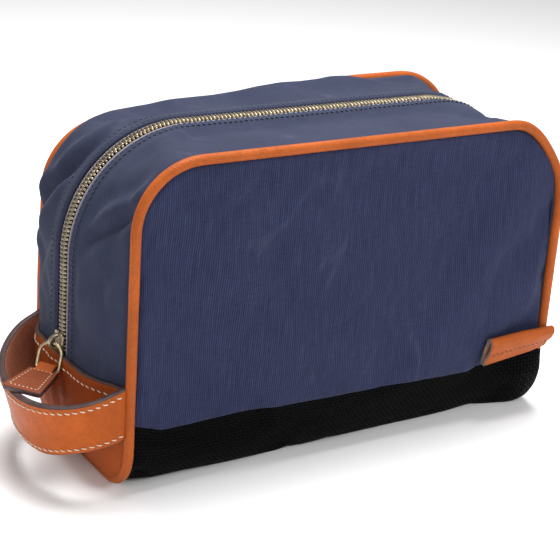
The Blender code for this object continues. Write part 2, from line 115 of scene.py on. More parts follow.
STRAP_REACH = 39.4
STRAP_TILT = math.radians(15.8)
STRAP_LEVEL = 43.9
STRAP_WIDTH = 28.0
STRAP_SKEW = -11.0
STRAP_OUTER = 2.0
STRAP_LINING = 1.7
STRAP_BEVEL = 0.5
STRAP_SEAM = 2.6

SLIDER_LEVEL = 62.2
SLIDER_HALF = 5.5
SLIDER_WIDE = 4.5
RING_YAW = math.radians(36.0)
RING_LEAN = math.radians(22.0)
RING_DROP = 13.1
RING_HALF = 6.1
EYE_STAND = 4.3
RING_BEND = 1.5
WIRE = 0.9
TAB_DROOP = math.radians(5.0)
TAB_LENGTH = 24.2
TAB_ROOT = 14.4
TAB_END = 20.6
TAB_THICK = 1.45
TAB_CORNER = 1.6
TAB_EYE = 2.45
TAB_SEAM = 2.3
TONGUE_HALF_THICK = 0.6
TONGUE_HALF_WIDE = 4.7

LOOP_LEFT = 83.0
LOOP_RIGHT = 125.0
LOOP_BASE = 34.6

CAMERA_YAW = math.radians(-32.73)
CAMERA_PITCH = math.radians(21.40)
CAMERA_ROLL = math.radians(4.08)
CAMERA_DISTANCE = 812.9
CAMERA_LENS = 99.83
CAMERA_AIM = (-11.40, -6.34, 80.0)
FLOOR_HALF = 3000.0
WORLD_LIGHT = 0.40
# name, place, aim, size and power of each area light
LIGHTS = (("overhead", (80.0, 150.0, 1100.0), (0.0, 0.0, 80.0), 700.0, 18.5),
          ("key", (500.0, -900.0, 650.0), (0.0, 0.0, 80.0), 500.0, 5.5),
          ("side", (-900.0, -450.0, 520.0), (-120.0, 0.0, 60.0), 350.0, 2.2))


# ---------------------------------------------------------------- mesh helpers
def make_object(name, points, faces, uvs=None):
    """An object from points in millimetres; uvs hold one pair in millimetres per point."""
    mesh = bpy.data.meshes.new(name)
    mesh.from_pydata([tuple(p) for p in np.asarray(points, float) * MM], [], faces)
    mesh.validate()
    if uvs is not None:
        layer = mesh.uv_layers.new(name="UVMap")
        uvs = np.asarray(uvs, float)
        index = np.zeros(len(mesh.loops), dtype=np.int32)
        mesh.loops.foreach_get("vertex_index", index)
        layer.data.foreach_set("uv", uvs[index].ravel())
    mesh.polygons.foreach_set("use_smooth", [True] * len(mesh.polygons))
    mesh.update()
    item = bpy.data.objects.new(name, mesh)
    bpy.context.collection.objects.link(item)
    return item


def outward(item):
    """Turns every face of a closed mesh outward."""
    work = bmesh.new()
    work.from_mesh(item.data)
    bmesh.ops.recalc_face_normals(work, faces=work.faces)
    work.to_mesh(item.data)
    work.free()
    return item


def grid_faces(rows, cols, loop_rows=False, loop_cols=False):
    faces = []
    for r in range(rows if loop_rows else rows - 1):
        for c in range(cols if loop_cols else cols - 1):
            a = r * cols + c
            b = ((r + 1) % rows) * cols + c
            right = (c + 1) % cols - c
            faces.append([a, b, b + right, a + right])
    return faces


def capped_faces(rows, cols):
    """The faces of a tube with both ends closed."""
    caps = [list(range(cols - 1, -1, -1)), [(rows - 1) * cols + j for j in range(cols)]]
    return grid_faces(rows, cols, loop_cols=True) + caps


def grid_normals(grid):
    normal = np.cross(np.gradient(grid, axis=0), np.gradient(grid, axis=1))
    return normal / np.maximum(np.linalg.norm(normal, axis=2, keepdims=True), 1e-9)


def travel_of(line):
    """Distance travelled at each point of a line."""
    return np.concatenate([[0.0], np.cumsum(np.linalg.norm(np.diff(line, axis=0), axis=1))])


def points_at(line, travel, places):
    """A line's rows at some distances along it."""
    return np.stack([np.interp(places, travel, line[:, k]) for k in range(line.shape[1])], axis=-1)


def unit(rows):
    return rows / np.linalg.norm(rows, axis=1, keepdims=True)


def grid_lengths(grid):
    """Arc lengths along both ways of a grid, as a UV map in millimetres."""
    rows = np.linalg.norm(np.diff(grid, axis=0), axis=2).mean(axis=1)
    cols = np.linalg.norm(np.diff(grid, axis=1), axis=2).mean(axis=0)
    u = np.concatenate([[0.0], np.cumsum(rows)])
    v = np.concatenate([[0.0], np.cumsum(cols)])
    return np.stack(np.meshgrid(u, v, indexing="ij"), axis=2)


def skin(name, grid, low, high, sign=1.0, uv=None):
    """A closed sheet between two offsets of a grid; sign turns its normals."""
    grid = np.asarray(grid, float)
    normal = grid_normals(grid) * sign
    uv = grid_lengths(grid) if uv is None else uv
    rows, cols = grid.shape[:2]
    count = rows * cols
    high = np.broadcast_to(np.asarray(high, float), (rows, cols))[..., None]
    low = np.broadcast_to(np.asarray(low, float), (rows, cols))[..., None]
    points = np.concatenate([(grid + normal * high).reshape(-1, 3), (grid + normal * low).reshape(-1, 3)])
    uvs = np.concatenate([uv.reshape(-1, 2)] * 2)
    top = grid_faces(rows, cols)
    faces = top + [[count + k for k in reversed(face)] for face in top]
    rim = [(0, c) for c in range(cols)]
    rim += [(r, cols - 1) for r in range(1, rows)]
    rim += [(rows - 1, c) for c in range(cols - 2, -1, -1)]
    rim += [(r, 0) for r in range(rows - 2, 0, -1)]
    for k, here in enumerate(rim):
        after = rim[(k + 1) % len(rim)]
        a = here[0] * cols + here[1]
        b = after[0] * cols + after[1]
        faces.append([a, b, count + b, count + a])
    if sign < 0.0:
        faces = [list(reversed(face)) for face in faces]
    return make_object(name, points, faces, uvs)


def sweep(name, centers, axis_u, axis_v, section, closed=False, scale=None):
    """A section, in the plane of two axes, carried along a line of centres."""
    centers = np.asarray(centers, float)
    section = np.asarray(section, float)
    count = len(centers)
    sides = len(section)
    size = np.ones(count) if scale is None else np.asarray(scale, float)
    offset = section[None, :, 0:1] * axis_u[:, None, :] + section[None, :, 1:2] * axis_v[:, None, :]
    points = (centers[:, None, :] + offset * size[:, None, None]).reshape(-1, 3)
    faces = grid_faces(count, sides, True, True) if closed else capped_faces(count, sides)
    uvs = np.stack(np.meshgrid(travel_of(centers), travel_of(section), indexing="ij"), axis=2)
    uvs = uvs.reshape(-1, 2)
    return outward(make_object(name, points, faces, uvs))


def path_frames(path, closed=False):
    """Tangents and two steady sideways axes along a path."""
    path = np.asarray(path, float)
    if closed:
        tangent = np.roll(path, -1, axis=0) - np.roll(path, 1, axis=0)
    else:
        tangent = np.gradient(path, axis=0)
    tangent = unit(tangent)
    side = np.cross(tangent[0], (0.31, 0.52, 0.79))
    sides = []
    for way in tangent:
        side = side - way * np.dot(side, way)
        side = side / np.linalg.norm(side)
        sides.append(side)
    sides = np.array(sides)
    return tangent, sides, np.cross(tangent, sides)


def circle(radius, count, squeeze=1.0):
    turns = np.linspace(0.0, 2.0 * math.pi, count, endpoint=False)
    return np.stack([radius * np.cos(turns), radius * squeeze * np.sin(turns)], axis=1)


def tube(name, path, radius, sides=12, closed=False, scale=None):
    _, axis_u, axis_v = path_frames(path, closed)
    return sweep(name, path, axis_u, axis_v, circle(radius, sides), closed, scale)


def resample(line, count):
    line = np.asarray(line, float)
    travel = travel_of(line)
    return points_at(line, travel, np.linspace(0.0, travel[-1], count))


def arc(center, radius_x, radius_z, start, end, count):
    turns = np.linspace(math.radians(start), math.radians(end), count)
    return np.stack([center[0] + radius_x * np.cos(turns), center[1] + radius_z * np.sin(turns)], axis=1)


def ease(value):
    value = np.clip(value, 0.0, 1.0)
    return value * value * (3.0 - 2.0 * value)


def ridge(line, width):
    return np.exp(-(line / width) ** 2)


def hump(away, width):
    """A swell that rises from 0 to 1 one width away and then dies off."""
    return away / width * np.exp(1.0 - away / width)


def joined(name, items):
    """Several meshes as one object, keeping their UV maps."""
    points, faces, uvs = [], [], []
    for item_points, item_faces, item_uvs in items:
        start = len(points)
        points.extend(item_points)
        uvs.extend(item_uvs)
        faces.extend([[start + k for k in face] for face in item_faces])
    return outward(make_object(name, points, faces, uvs))


def stitches(name, path, normals, pitch, length, radius, slant=0.25):
    """A row of thread stitches: short arched strands that dive into the cloth at both ends."""
    path = np.asarray(path, float)
    normals = np.asarray(normals, float)
    travel = travel_of(path)
    total = travel[-1]
    count = max(1, int(total / pitch))
    rows, sides, sink = 7, 6, 0.35
    share = np.linspace(-0.5, 0.5, rows)
    ring = circle(1.0, sides)
    made = []
    for k in range(count):
        middle = (k + 0.5) * total / count
        places = middle + share * length
        line = points_at(path, travel, places)
        up = unit(points_at(normals, travel, places))
        side = np.cross(unit(np.gradient(line, axis=0)), up)
        lift = radius * 0.45 - (sink + radius) * (2.0 * np.abs(share)) ** 4
        line = line + up * lift[:, None] + side * (share * slant * length)[:, None]
        thick = radius * (1.0 - 0.35 * (2.0 * np.abs(share)) ** 2)
        points = line[:, None, :] + thick[:, None, None] * (
            ring[None, :, 0:1] * side[:, None, :] + ring[None, :, 1:2] * up[:, None, :]
        )
        uvs = [(share[r] * length, c * 0.3) for r in range(rows) for c in range(sides)]
        made.append((list(points.reshape(-1, 3)), capped_faces(rows, sides), uvs))
    return joined(name, made)


# ---------------------------------------------------------------- materials
class Graph:
    """A short way to write a node material."""

    def __init__(self, name):
        self.material = bpy.data.materials.new(name)
        self.material.use_nodes = True
        self.tree = self.material.node_tree
        self.shader = self.tree.nodes["Principled BSDF"]
        self.uv = self.add("ShaderNodeUVMap").outputs["UV"]
        self.place = self.add("ShaderNodeTexCoord").outputs["Object"]

    def add(self, kind, inputs=None, **values):
        node = self.tree.nodes.new(kind)
        for key, value in values.items():
            setattr(node, key, value)
        for key, source in (inputs or {}).items():
            self.link(source, node.inputs[key])
        return node

    def link(self, source, target):
        if hasattr(source, "is_output"):
            self.tree.links.new(source, target)
        else:
            target.default_value = source

    def math(self, operation, first, second=0.0):
        return self.add("ShaderNodeMath", {0: first, 1: second}, operation=operation).outputs[0]

    def scaled(self, source, scale, turn=0.0):
        inputs = {"Vector": source, "Scale": scale, "Rotation": (0.0, 0.0, turn)}
        return self.add("ShaderNodeMapping", inputs).outputs[0]

    def noise(self, source, scale, detail=3.0, rough=0.55, warp=0.0):
        inputs = {"Vector": source, "Scale": scale, "Detail": detail, "Roughness": rough, "Distortion": warp}
        return self.add("ShaderNodeTexNoise", inputs).outputs["Fac"]

    def cells(self, source, scale):
        return self.add("ShaderNodeTexVoronoi", {"Vector": source, "Scale": scale}).outputs["Distance"]

    def ramp(self, source, low, high, first=0.0, last=1.0):
        inputs = {"Value": source, "From Min": low, "From Max": high, "To Min": first, "To Max": last}
        return self.add("ShaderNodeMapRange", inputs, clamp=True).outputs["Result"]

    def blend(self, factor, first, second):
        inputs = {"Factor": factor, "A": first, "B": second}
        return self.add("ShaderNodeMix", inputs, data_type="RGBA").outputs["Result"]

    def layer(self, under, over, mask, *span):
        """One colour over another where a mask is high; span is as in ramp."""
        return self.blend(self.ramp(mask, *span), under, over)

    def split(self, source):
        return self.add("ShaderNodeSeparateXYZ", {0: source}).outputs

    def bump(self, height, distance, strength):
        inputs = {"Height": height, "Distance": distance, "Strength": strength}
        return self.add("ShaderNodeBump", inputs).outputs["Normal"]

    def finish(self, color, roughness, normal=None, **values):
        self.link(color, self.shader.inputs["Base Color"])
        self.link(roughness, self.shader.inputs["Roughness"])
        if normal is not None:
            self.link(normal, self.shader.inputs["Normal"])
        for key, value in values.items():
            self.shader.inputs[key.replace("_", " ")].default_value = value
        return self.material


def shade(color, share=1.0):
    return (color[0] * share, color[1] * share, color[2] * share, 1.0)


def weave_height(graph, pitch_u, pitch_v):
    """Crossing threads as a height, from the UV map in millimetres."""
    axes = graph.split(graph.uv)
    across = graph.math("SINE", graph.math("MULTIPLY", axes["X"], math.pi / pitch_u))
    along = graph.math("SINE", graph.math("MULTIPLY", axes["Y"], math.pi / pitch_v))
    over = graph.ramp(graph.math("MULTIPLY", across, along), -0.15, 0.15)
    under = graph.math("SUBTRACT", 1.0, over)
    first = graph.math("MULTIPLY", graph.math("ABSOLUTE", across), over)
    second = graph.math("MULTIPLY", graph.math("ABSOLUTE", along), under)
    return graph.math("ADD", first, second)


def canvas_material(name, color, depth=0.80):
    graph = Graph(name)
    axes = graph.split(graph.uv)
    slub = graph.noise(graph.scaled(graph.uv, (1.6, 0.05, 1.0)), 1.0, 3.0, 0.62)
    weft = graph.noise(graph.scaled(graph.uv, (0.15, 1.92, 1.0)), 1.0, 2.0, 0.6)
    drift = graph.math("MULTIPLY", graph.noise(graph.scaled(graph.uv, (0.12, 0.12, 1.0)), 1.0, 2.0), 0.8)
    rib = graph.math("SINE", graph.math("ADD", graph.math("MULTIPLY", axes["X"], math.pi / 0.55), drift))
    cloud = graph.noise(graph.place, 14.0, 4.0, 0.6, 0.4)
    crease = graph.noise(graph.scaled(graph.place, (26.0, 26.0, 11.0), 0.6), 1.0, 5.0, 0.62, 1.4)
    scuff = graph.ramp(crease, 0.60, 0.76)
    tone = graph.layer(shade(color, 0.88), shade(color, 1.10), cloud, 0.32, 0.70)
    tone = graph.layer(tone, shade(color, 1.9), slub, 0.42, 0.62, 0.0, 0.62 * depth)
    tone = graph.layer(tone, shade(color, 0.36), rib, -1.0, 0.5, depth, 0.0)
    tone = graph.layer(tone, shade(color, 0.42), weft, 0.48, 0.68, 0.0, 0.3 + 0.2 * depth)
    tone = graph.blend(graph.math("MULTIPLY", scuff, 0.28), tone, shade((0.11, 0.13, 0.18)))
    height = graph.math("ADD", graph.math("MULTIPLY", rib, 0.375 * depth), graph.math("MULTIPLY", weft, 0.5))
    height = graph.math("ADD", height, graph.math("MULTIPLY", slub, 0.5))
    normal = graph.bump(height, 0.0003, 0.6)
    rough = graph.ramp(cloud, 0.3, 0.7, 0.88, 0.74)
    return graph.finish(tone, rough, normal, Sheen_Weight=0.05, Sheen_Roughness=0.4,
                        Specular_IOR_Level=0.12)


def nylon_material():
    graph = Graph("ballistic_nylon")
    fine = weave_height(graph, 1.5, 1.7)
    wander = graph.noise(graph.place, 60.0, 3.0)
    # painted glints: the lighter flecks laid into the base colour stand in for light sparkling on the nylon's
    # fibres
    glint_fleck = graph.noise(graph.scaled(graph.uv, (1.4, 1.4, 1.0), 0.5), 1.0, 2.0)
    base = (0.0024, 0.0024, 0.0030)
    tone = graph.layer(shade(base, 0.22), shade(base, 1.15), fine, 0.30, 1.0)
    tone = graph.layer(tone, shade(base, 6.0), glint_fleck, 0.54, 0.68, 0.0, 0.6)
    tone = graph.layer(tone, shade(base, 0.5), wander, 0.4, 0.8, 0.0, 0.35)
    normal = graph.bump(fine, 0.0012, 1.0)
    return graph.finish(tone, graph.ramp(fine, 0.2, 1.0, 0.80, 0.55), normal, Specular_IOR_Level=0.04)


def leather_material(name, color, gloss=0.40, wear=0.5):
    graph = Graph(name)
    pores = graph.cells(graph.place, 1300.0)
    grain = graph.noise(graph.place, 480.0, 5.0, 0.65)
    cloud = graph.noise(graph.place, 42.0, 4.0, 0.6, 0.5)
    streak = graph.noise(graph.scaled(graph.place, (90.0, 90.0, 300.0)), 1.0, 3.0, 0.6, 0.8)
    tone = graph.layer(shade(color, 0.80), shade(color, 1.14), cloud, 0.30, 0.72)
    tone = graph.layer(tone, shade(color, 0.55), streak, 0.52, 0.78, 0.0, 0.35 * wear)
    tone = graph.layer(tone, shade(color, 0.55), grain, 0.48, 0.72, 0.0, 0.42)
    height = graph.math("ADD", graph.math("MULTIPLY", pores, 0.8), graph.math("MULTIPLY", grain, 0.7))
    normal = graph.bump(height, 0.0004, 0.6)
    rough = graph.ramp(cloud, 0.3, 0.7, gloss + 0.08, gloss - 0.06)
    return graph.finish(tone, rough, normal, Specular_IOR_Level=0.10)


def edge_material(name, color):
    graph = Graph(name)
    streak = graph.noise(graph.scaled(graph.place, (260.0, 260.0, 260.0)), 1.0, 3.0)
    tone = graph.layer(shade(color, 0.7), shade(color, 1.35), streak, 0.35, 0.7)
    normal = graph.bump(streak, 0.0002, 0.5)
    return graph.finish(tone, 0.48, normal, Specular_IOR_Level=0.4)


def brass_material(name, color, aged, bright=0.30):
    graph = Graph(name)
    patina = graph.noise(graph.place, 520.0, 4.0, 0.6)
    broad = graph.noise(graph.place, 120.0, 3.0, 0.6)
    tone = graph.layer(shade(color), shade(aged), patina, 0.40, 0.68)
    tone = graph.layer(tone, shade(aged, 0.6), broad, 0.5, 0.8, 0.0, 0.5)
    normal = graph.bump(patina, 0.00008, 0.5)
    return graph.finish(tone, graph.ramp(patina, 0.3, 0.7, bright, bright + 0.22), normal, Metallic=1.0)


def thread_material(name, color):
    graph = Graph(name)
    axes = graph.split(graph.uv)
    twist = graph.math("ADD", axes["X"], graph.math("MULTIPLY", axes["Y"], 0.9))
    ply = graph.math("SINE", graph.math("MULTIPLY", twist, 9.0))
    tone = graph.layer(shade(color, 0.72), shade(color, 1.1), ply, -0.8, 0.8)
    normal = graph.bump(ply, 0.0001, 0.7)
    return graph.finish(tone, 0.62, normal, Sheen_Weight=0.2, Specular_IOR_Level=0.35)


def tape_material():
    graph = Graph("zipper_tape")
    fine = weave_height(graph, 0.7, 0.5)
    color = (0.33, 0.31, 0.38)
    tone = graph.layer(shade(color, 0.6), shade(color, 1.25), fine, 0.2, 1.0)
    return graph.finish(tone, 0.8, graph.bump(fine, 0.0003, 0.8), Sheen_Weight=0.2)


def lining_material():
    graph = Graph("lining_cloth")
    fine = weave_height(graph, 0.5, 0.5)
    color = (0.17, 0.16, 0.15)
    tone = graph.layer(shade(color, 0.7), shade(color, 1.2), fine, 0.2, 1.0)
    return graph.finish(tone, 0.85, graph.bump(fine, 0.0002, 0.6))


NAVY = (0.0272, 0.0328, 0.0790)
TAN = (0.41, 0.092, 0.017)
CANVAS = canvas_material("navy_canvas", NAVY)
CANVAS_GUSSET = canvas_material("navy_canvas_gusset", (0.0315, 0.0368, 0.0690), depth=0.12)
NYLON = nylon_material()
LEATHER = leather_material("tan_leather", TAN)
LEATHER_STRAP = leather_material("strap_leather", (0.42, 0.088, 0.013), gloss=0.34)
LEATHER_DEEP = leather_material("tan_leather_deep", (0.33, 0.066, 0.012), gloss=0.62)
LEATHER_TAB = leather_material("tab_leather", (0.26, 0.066, 0.026), gloss=0.44)
LEATHER_BROWN = leather_material("lining_leather", (0.50, 0.20, 0.115), gloss=0.60, wear=1.6)
EDGE = edge_material("edge_paint", (0.060, 0.032, 0.032))
EDGE_PALE = edge_material("edge_paint_pale", (0.16, 0.13, 0.12))
BRASS = brass_material("antique_brass", (0.52, 0.44, 0.31), (0.16, 0.13, 0.095), 0.30)
BRASS_RING = brass_material("ring_brass", (0.66, 0.57, 0.36), (0.42, 0.34, 0.19), 0.22)
CREAM = thread_material("cream_thread", (0.80, 0.69, 0.56))
NAVY_THREAD = thread_material("navy_thread", (0.012, 0.026, 0.062))
BROWN_THREAD = thread_material("brown_thread", (0.14, 0.045, 0.02))
TAPE = tape_material()
LINING = lining_material()


def dress(item, material, body="bag", ride=True):
    """Material and body for a new piece."""
    item.data.materials.clear()
    item.data.materials.append(material)
    if ride:
        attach(item, body)
    return item


# ---------------------------------------------------------------- the bag's shape
def end_bulge(level, amount):
    reach = np.clip((level - SEAM_FLOOR) / 40.0, 0.0, 1.0)
    return amount * (1.0 - (1.0 - reach) ** 2)


def rails(count):
    """Matching stations along the piped seam and along the zipper, each as (x, z)."""
    low = np.linspace(SEAM_FLOOR + TUCK, JOIN_LEFT, 60)
    seam_left = np.stack([np.full(60, -HALF_LENGTH), low], axis=1)
    zip_left = np.stack([-HALF_LENGTH - end_bulge(low, BULGE_LEFT), low], axis=1)
    turn = (-HALF_LENGTH + CORNER_LEFT, HEIGHT - CORNER_LEFT)
    seam_a = np.concatenate([[(-HALF_LENGTH, JOIN_LEFT)], arc(turn, CORNER_LEFT, CORNER_LEFT, 180, 90, 60)])
    zip_x = -HALF_LENGTH - BULGE_LEFT
    turn = (zip_x + ZIP_CORNER, ZIP_TOP - ZIP_CORNER)
    zip_a = np.concatenate([[(zip_x, JOIN_LEFT)], arc(turn, ZIP_CORNER, ZIP_CORNER, 180, 90, 60)])
    seam_b = [(-HALF_LENGTH + CORNER_LEFT, HEIGHT), (HALF_LENGTH - CORNER_RIGHT, HEIGHT)]
    zip_b = [(zip_x + ZIP_CORNER, ZIP_TOP), (ZIP_FALL, ZIP_TOP)]
    turn = (HALF_LENGTH - CORNER_RIGHT, HEIGHT - CORNER_RIGHT)
    seam_c = np.concatenate([arc(turn, CORNER_RIGHT, CORNER_RIGHT, 90, 0, 60), [(HALF_LENGTH, JOIN_RIGHT)]])
    fall = HALF_LENGTH + BULGE_RIGHT - ZIP_FALL
    zip_c = arc((ZIP_FALL, JOIN_RIGHT), fall, ZIP_TOP - JOIN_RIGHT, 90, 0, 90)
    low = np.linspace(JOIN_RIGHT, SEAM_FLOOR + TUCK, 40)
    seam_right = np.stack([np.full(40, HALF_LENGTH), low], axis=1)
    zip_right = np.stack([HALF_LENGTH + end_bulge(low, BULGE_RIGHT), low], axis=1)
    shares = [int(count * s) for s in (0.21, 0.20, 0.30, 0.19)]
    shares.append(count - sum(shares))
    seam, middle = [], []
    lines = ((seam_left, zip_left), (seam_a, zip_a), (seam_b, zip_b), (seam_c, zip_c),
             (seam_right, zip_right))
    for (outer, inner), number in zip(lines, shares):
        seam.append(resample(outer, number + 1)[:-1])
        middle.append(resample(inner, number + 1)[:-1])
    seam.append(seam_right[-1:])
    middle.append(zip_right[-1:])
    return np.concatenate(seam), np.concatenate(middle)


def gusset_limit(level, inset):
    above = np.minimum(level - SEAM_FLOOR, BASE_ROUND)
    reach = (BASE_ROUND - inset) ** 2 - (BASE_ROUND - above) ** 2
    return HALF_DEPTH - BASE_ROUND + np.sqrt(np.maximum(reach, 0.0))


def slump(points):
    """The whole bag's lean: the far top edge hangs, the far end sinks and a foot tucks in."""
    points = np.array(points, float)
    x, y, z = points[..., 0].copy(), points[..., 1].copy(), points[..., 2].copy()
    far = ease((y - 2.0) / 50.0) * ease((z - 62.0) / 95.0)
    points[..., 2] -= FAR_EDGE_DROP * far * np.clip((58.0 - x) / 125.0, 0.0, 1.1)
    points[..., 0] += FAR_EDGE_LEAN * far * ease((-x - 60.0) / 50.0)
    sunk = ease((x - 66.0) / 36.0) * ease((z - 95.0) / 50.0) * (1.0 - (y / HALF_DEPTH) ** 2)
    points[..., 2] -= FAR_END_DROP * sunk
    corner = ease((x - 84.0) / 38.0) * ease((z - 112.0) / 45.0) * ease((12.0 - y) / 45.0)
    points[..., 0] -= CORNER_SINK[0] * corner
    points[..., 2] -= CORNER_SINK[1] * corner
    tuck = ease((x - 110.0) / 13.0) * ease((46.0 - z) / 26.0) * ease((-y - 20.0) / 30.0)
    points[..., 1] += FOOT_TUCK[1] * tuck
    points[..., 0] -= FOOT_TUCK[0] * tuck
    return points


def groove(away):
    """The cloth's dip where it turns into the piped seam, for a distance from the seam."""
    return -SEAM_DIP * ridge(away, SEAM_DIP_WIDTH)


def base_rise(x):
    reach = ease((np.abs(x) - 104.0) / (HALF_LENGTH - 104.0))
    return SEAM_FLOOR * reach


def swell(x, z):
    level = np.clip((z - 18.0) / (HEIGHT - 18.0), 0.0, 1.0)
    return FRONT_SWELL * (1.0 - (x / HALF_LENGTH) ** 4) * np.sin(math.pi * level)


def wobble(points, scale, seed, detail=2):
    """Smooth noise at points, about -1 to 1."""
    shift = Vector((seed, 0.0, 0.0))
    values = [noise.fractal(Vector(p / scale) + shift, 1.0, 2.0, detail) for p in points.reshape(-1, 3)]
    return np.array(values).reshape(points.shape[:-1])


def nylon_level(x):
    dip = 1.1 + 3.6 * ease((-x - 20.0) / 85.0) - 5.0 * ease((-x - 104.0) / 18.0)
    dip = dip + 1.5 * ridge(x - 76.0, 26.0) - 5.0 * ease((x - 88.0) / 32.0)
    return NYLON_LEVEL - NYLON_SLOPE * x / HALF_LENGTH - dip


def strip_top(x):
    corner = np.where(x < 0.0, CORNER_LEFT, CORNER_RIGHT)
    beyond = np.maximum(np.abs(x) - (HALF_LENGTH - corner), 0.0)
    return HEIGHT - corner + np.sqrt(np.maximum((corner - TUCK) ** 2 - beyond ** 2, 0.0))


def strip_columns(count):
    """Places along the bag, closer together round the top corners."""
    turns = np.linspace(90.0, 0.0, 15)[:-1]
    left = -(HALF_LENGTH - CORNER_LEFT) - (CORNER_LEFT - TUCK) * np.sin(np.radians(turns))
    right = HALF_LENGTH - CORNER_RIGHT + (CORNER_RIGHT - TUCK) * np.sin(np.radians(turns))
    middle = np.linspace(-(HALF_LENGTH - CORNER_LEFT), HALF_LENGTH - CORNER_RIGHT, count)
    return np.concatenate([left, middle, right[::-1]])


def strip_grid():
    """The main strip: down the front, under, and up the back, for each place along the bag."""
    rows = []
    for x in strip_columns(70):
        floor = float(base_rise(x))
        level = float(nylon_level(x))
        round_top = floor + BASE_ROUND
        upper = np.linspace(strip_top(np.array(x)), level, CANVAS_ROWS)
        lower = np.linspace(level, round_top, NYLON_ROWS)[1:]
        wall = np.concatenate([upper, lower])
        turns = np.radians(np.linspace(180.0, 270.0, 14))[1:]
        bend_y = -HALF_DEPTH + BASE_ROUND + BASE_ROUND * np.cos(turns)
        bend_z = round_top + BASE_ROUND * np.sin(turns)
        flat = np.linspace(-HALF_DEPTH + BASE_ROUND, HALF_DEPTH - BASE_ROUND, 22)[1:-1]
        half_y = np.concatenate([-HALF_DEPTH - swell(x, wall), bend_y])
        half_z = np.concatenate([wall, bend_z])
        y = np.concatenate([half_y, flat, -half_y[::-1]])
        z = np.concatenate([half_z, np.full(len(flat), floor), half_z[::-1]])
        rows.append(np.stack([np.full(len(y), x), y, z], axis=1))
    return np.array(rows)


def gusset_grid(sign):
    """Half of the gusset, from the piped seam to the folded edge beside the zipper."""
    seam, middle = rails(GUSSET_STATIONS)
    outer = gusset_limit(seam[:, 1], TUCK)
    spread = np.linspace(0.0, 1.0, 30)
    y = outer[:, None] + (FOLD_EDGE[sign] - outer[:, None]) * spread[None, :]
    lift = 1.0 - np.abs(y / HALF_DEPTH) ** BULGE_POWER
    x = seam[:, None, 0] + (middle[:, None, 0] - seam[:, None, 0]) * lift
    z = seam[:, None, 1] + (middle[:, None, 1] - seam[:, None, 1]) * lift
    return np.stack([x, sign * y, z], axis=2)


def edge_fade(rows, cols, reach_rows, reach_cols):
    """0 on a grid's border, 1 away from it."""
    r = np.minimum(np.arange(rows), np.arange(rows)[::-1]) / reach_rows
    c = np.minimum(np.arange(cols), np.arange(cols)[::-1]) / reach_cols
    return ease(r)[:, None] * ease(c)[None, :]


def relaxed(name, grid, slack, limit=4.0):
    """Cloth simulation on a coarser copy of a grid, pinned at its border, with a little slack."""
    frames, step = 16, 3
    rows, cols = grid.shape[:2]
    pick_r = np.unique(np.append(np.arange(0, rows, step), rows - 1))
    pick_c = np.unique(np.append(np.arange(0, cols, step), cols - 1))
    coarse = grid[np.ix_(pick_r, pick_c)]
    cloth = make_object(name, coarse.reshape(-1, 3), grid_faces(len(pick_r), len(pick_c)))
    pins = cloth.vertex_groups.new(name="pins")
    border = [r * len(pick_c) + c for r in range(len(pick_r)) for c in range(len(pick_c))
              if r in (0, len(pick_r) - 1) or c in (0, len(pick_c) - 1)]
    pins.add(border, 1.0, "REPLACE")
    step_cloth = cloth.modifiers.new("cloth", "CLOTH")
    settings = step_cloth.settings
    settings.quality = 8
    settings.mass = 0.12
    settings.tension_stiffness = 25.0
    settings.compression_stiffness = 25.0
    settings.shear_stiffness = 12.0
    settings.bending_stiffness = 1.2
    settings.vertex_group_mass = "pins"
    settings.shrink_min = -slack
    settings.shrink_max = -slack
    settings.effector_weights.gravity = 0.35
    step_cloth.point_cache.frame_start = 1
    step_cloth.point_cache.frame_end = frames
    for number in range(1, frames + 1):
        bpy.context.scene.frame_set(number)
    seen = cloth.evaluated_get(bpy.context.evaluated_depsgraph_get()).data
    moved = np.array([v.co for v in seen.vertices]).reshape(len(pick_r), len(pick_c), 3) / MM
    bpy.data.objects.remove(cloth, do_unlink=True)
    bpy.context.scene.frame_set(1)
    shift = moved - coarse
    size = np.linalg.norm(shift, axis=2, keepdims=True)
    shift *= np.minimum(1.0, limit / np.maximum(size, 1e-9))
    full = np.zeros_like(grid)
    for k in range(3):
        part = np.array([np.interp(np.arange(cols), pick_c, row) for row in shift[..., k]])
        full[..., k] = np.array([np.interp(np.arange(rows), pick_r, col) for col in part.T]).T
    return grid + full


def shaped_strip():
    """The main strip after slump, soft dents and cloth simulation."""
    plain = strip_grid()
    x, y, z = plain[..., 0], plain[..., 1], plain[..., 2]
    edge = HALF_LENGTH - TUCK - np.abs(x)
    above = np.where(z > BASE_ROUND, strip_top(x) - z, HALF_DEPTH)
    away = np.maximum(np.minimum(edge, above), 0.0)
    low = ease((44.0 - z) / 22.0) * ease((-y - 6.0) / 26.0) * (x > 0.0)
    full = CORNER_SWELL * hump(edge, CORNER_SWELL_WIDTH) * low
    grid = slump(plain)
    grid[..., 0] += CORNER_DRAW * ease((54.0 - z) / 22.0) * ease((-y - 6.0) / 26.0) * ease((x - 100.0) / 23.0)
    rows, cols = grid.shape[:2]
    normal = -grid_normals(grid)
    fade = edge_fade(rows, cols, 6.0, 5.0)
    wall = ease((grid[..., 2] - 20.0) / 25.0)
    broad = wobble(grid, 62.0, 3.1) * 1.5 + wobble(grid * np.array((1.0, 1.0, 0.6)), 26.0, 8.4, 3) * 0.5
    creases = np.abs(wobble(grid * np.array((1.0, 1.0, 0.55)), 34.0, 15.2, 3))
    dents = (broad - 0.8 * ridge(creases, 0.06)) * fade * (0.25 + 0.75 * wall)
    grid = grid + normal * dents[..., None]
    grid = grid + normal * (full + groove(away))[..., None]
    grid = relaxed("strip_cloth", grid, 0.008)
    grid[..., 2] = np.maximum(grid[..., 2], REST_LEVEL)
    return grid


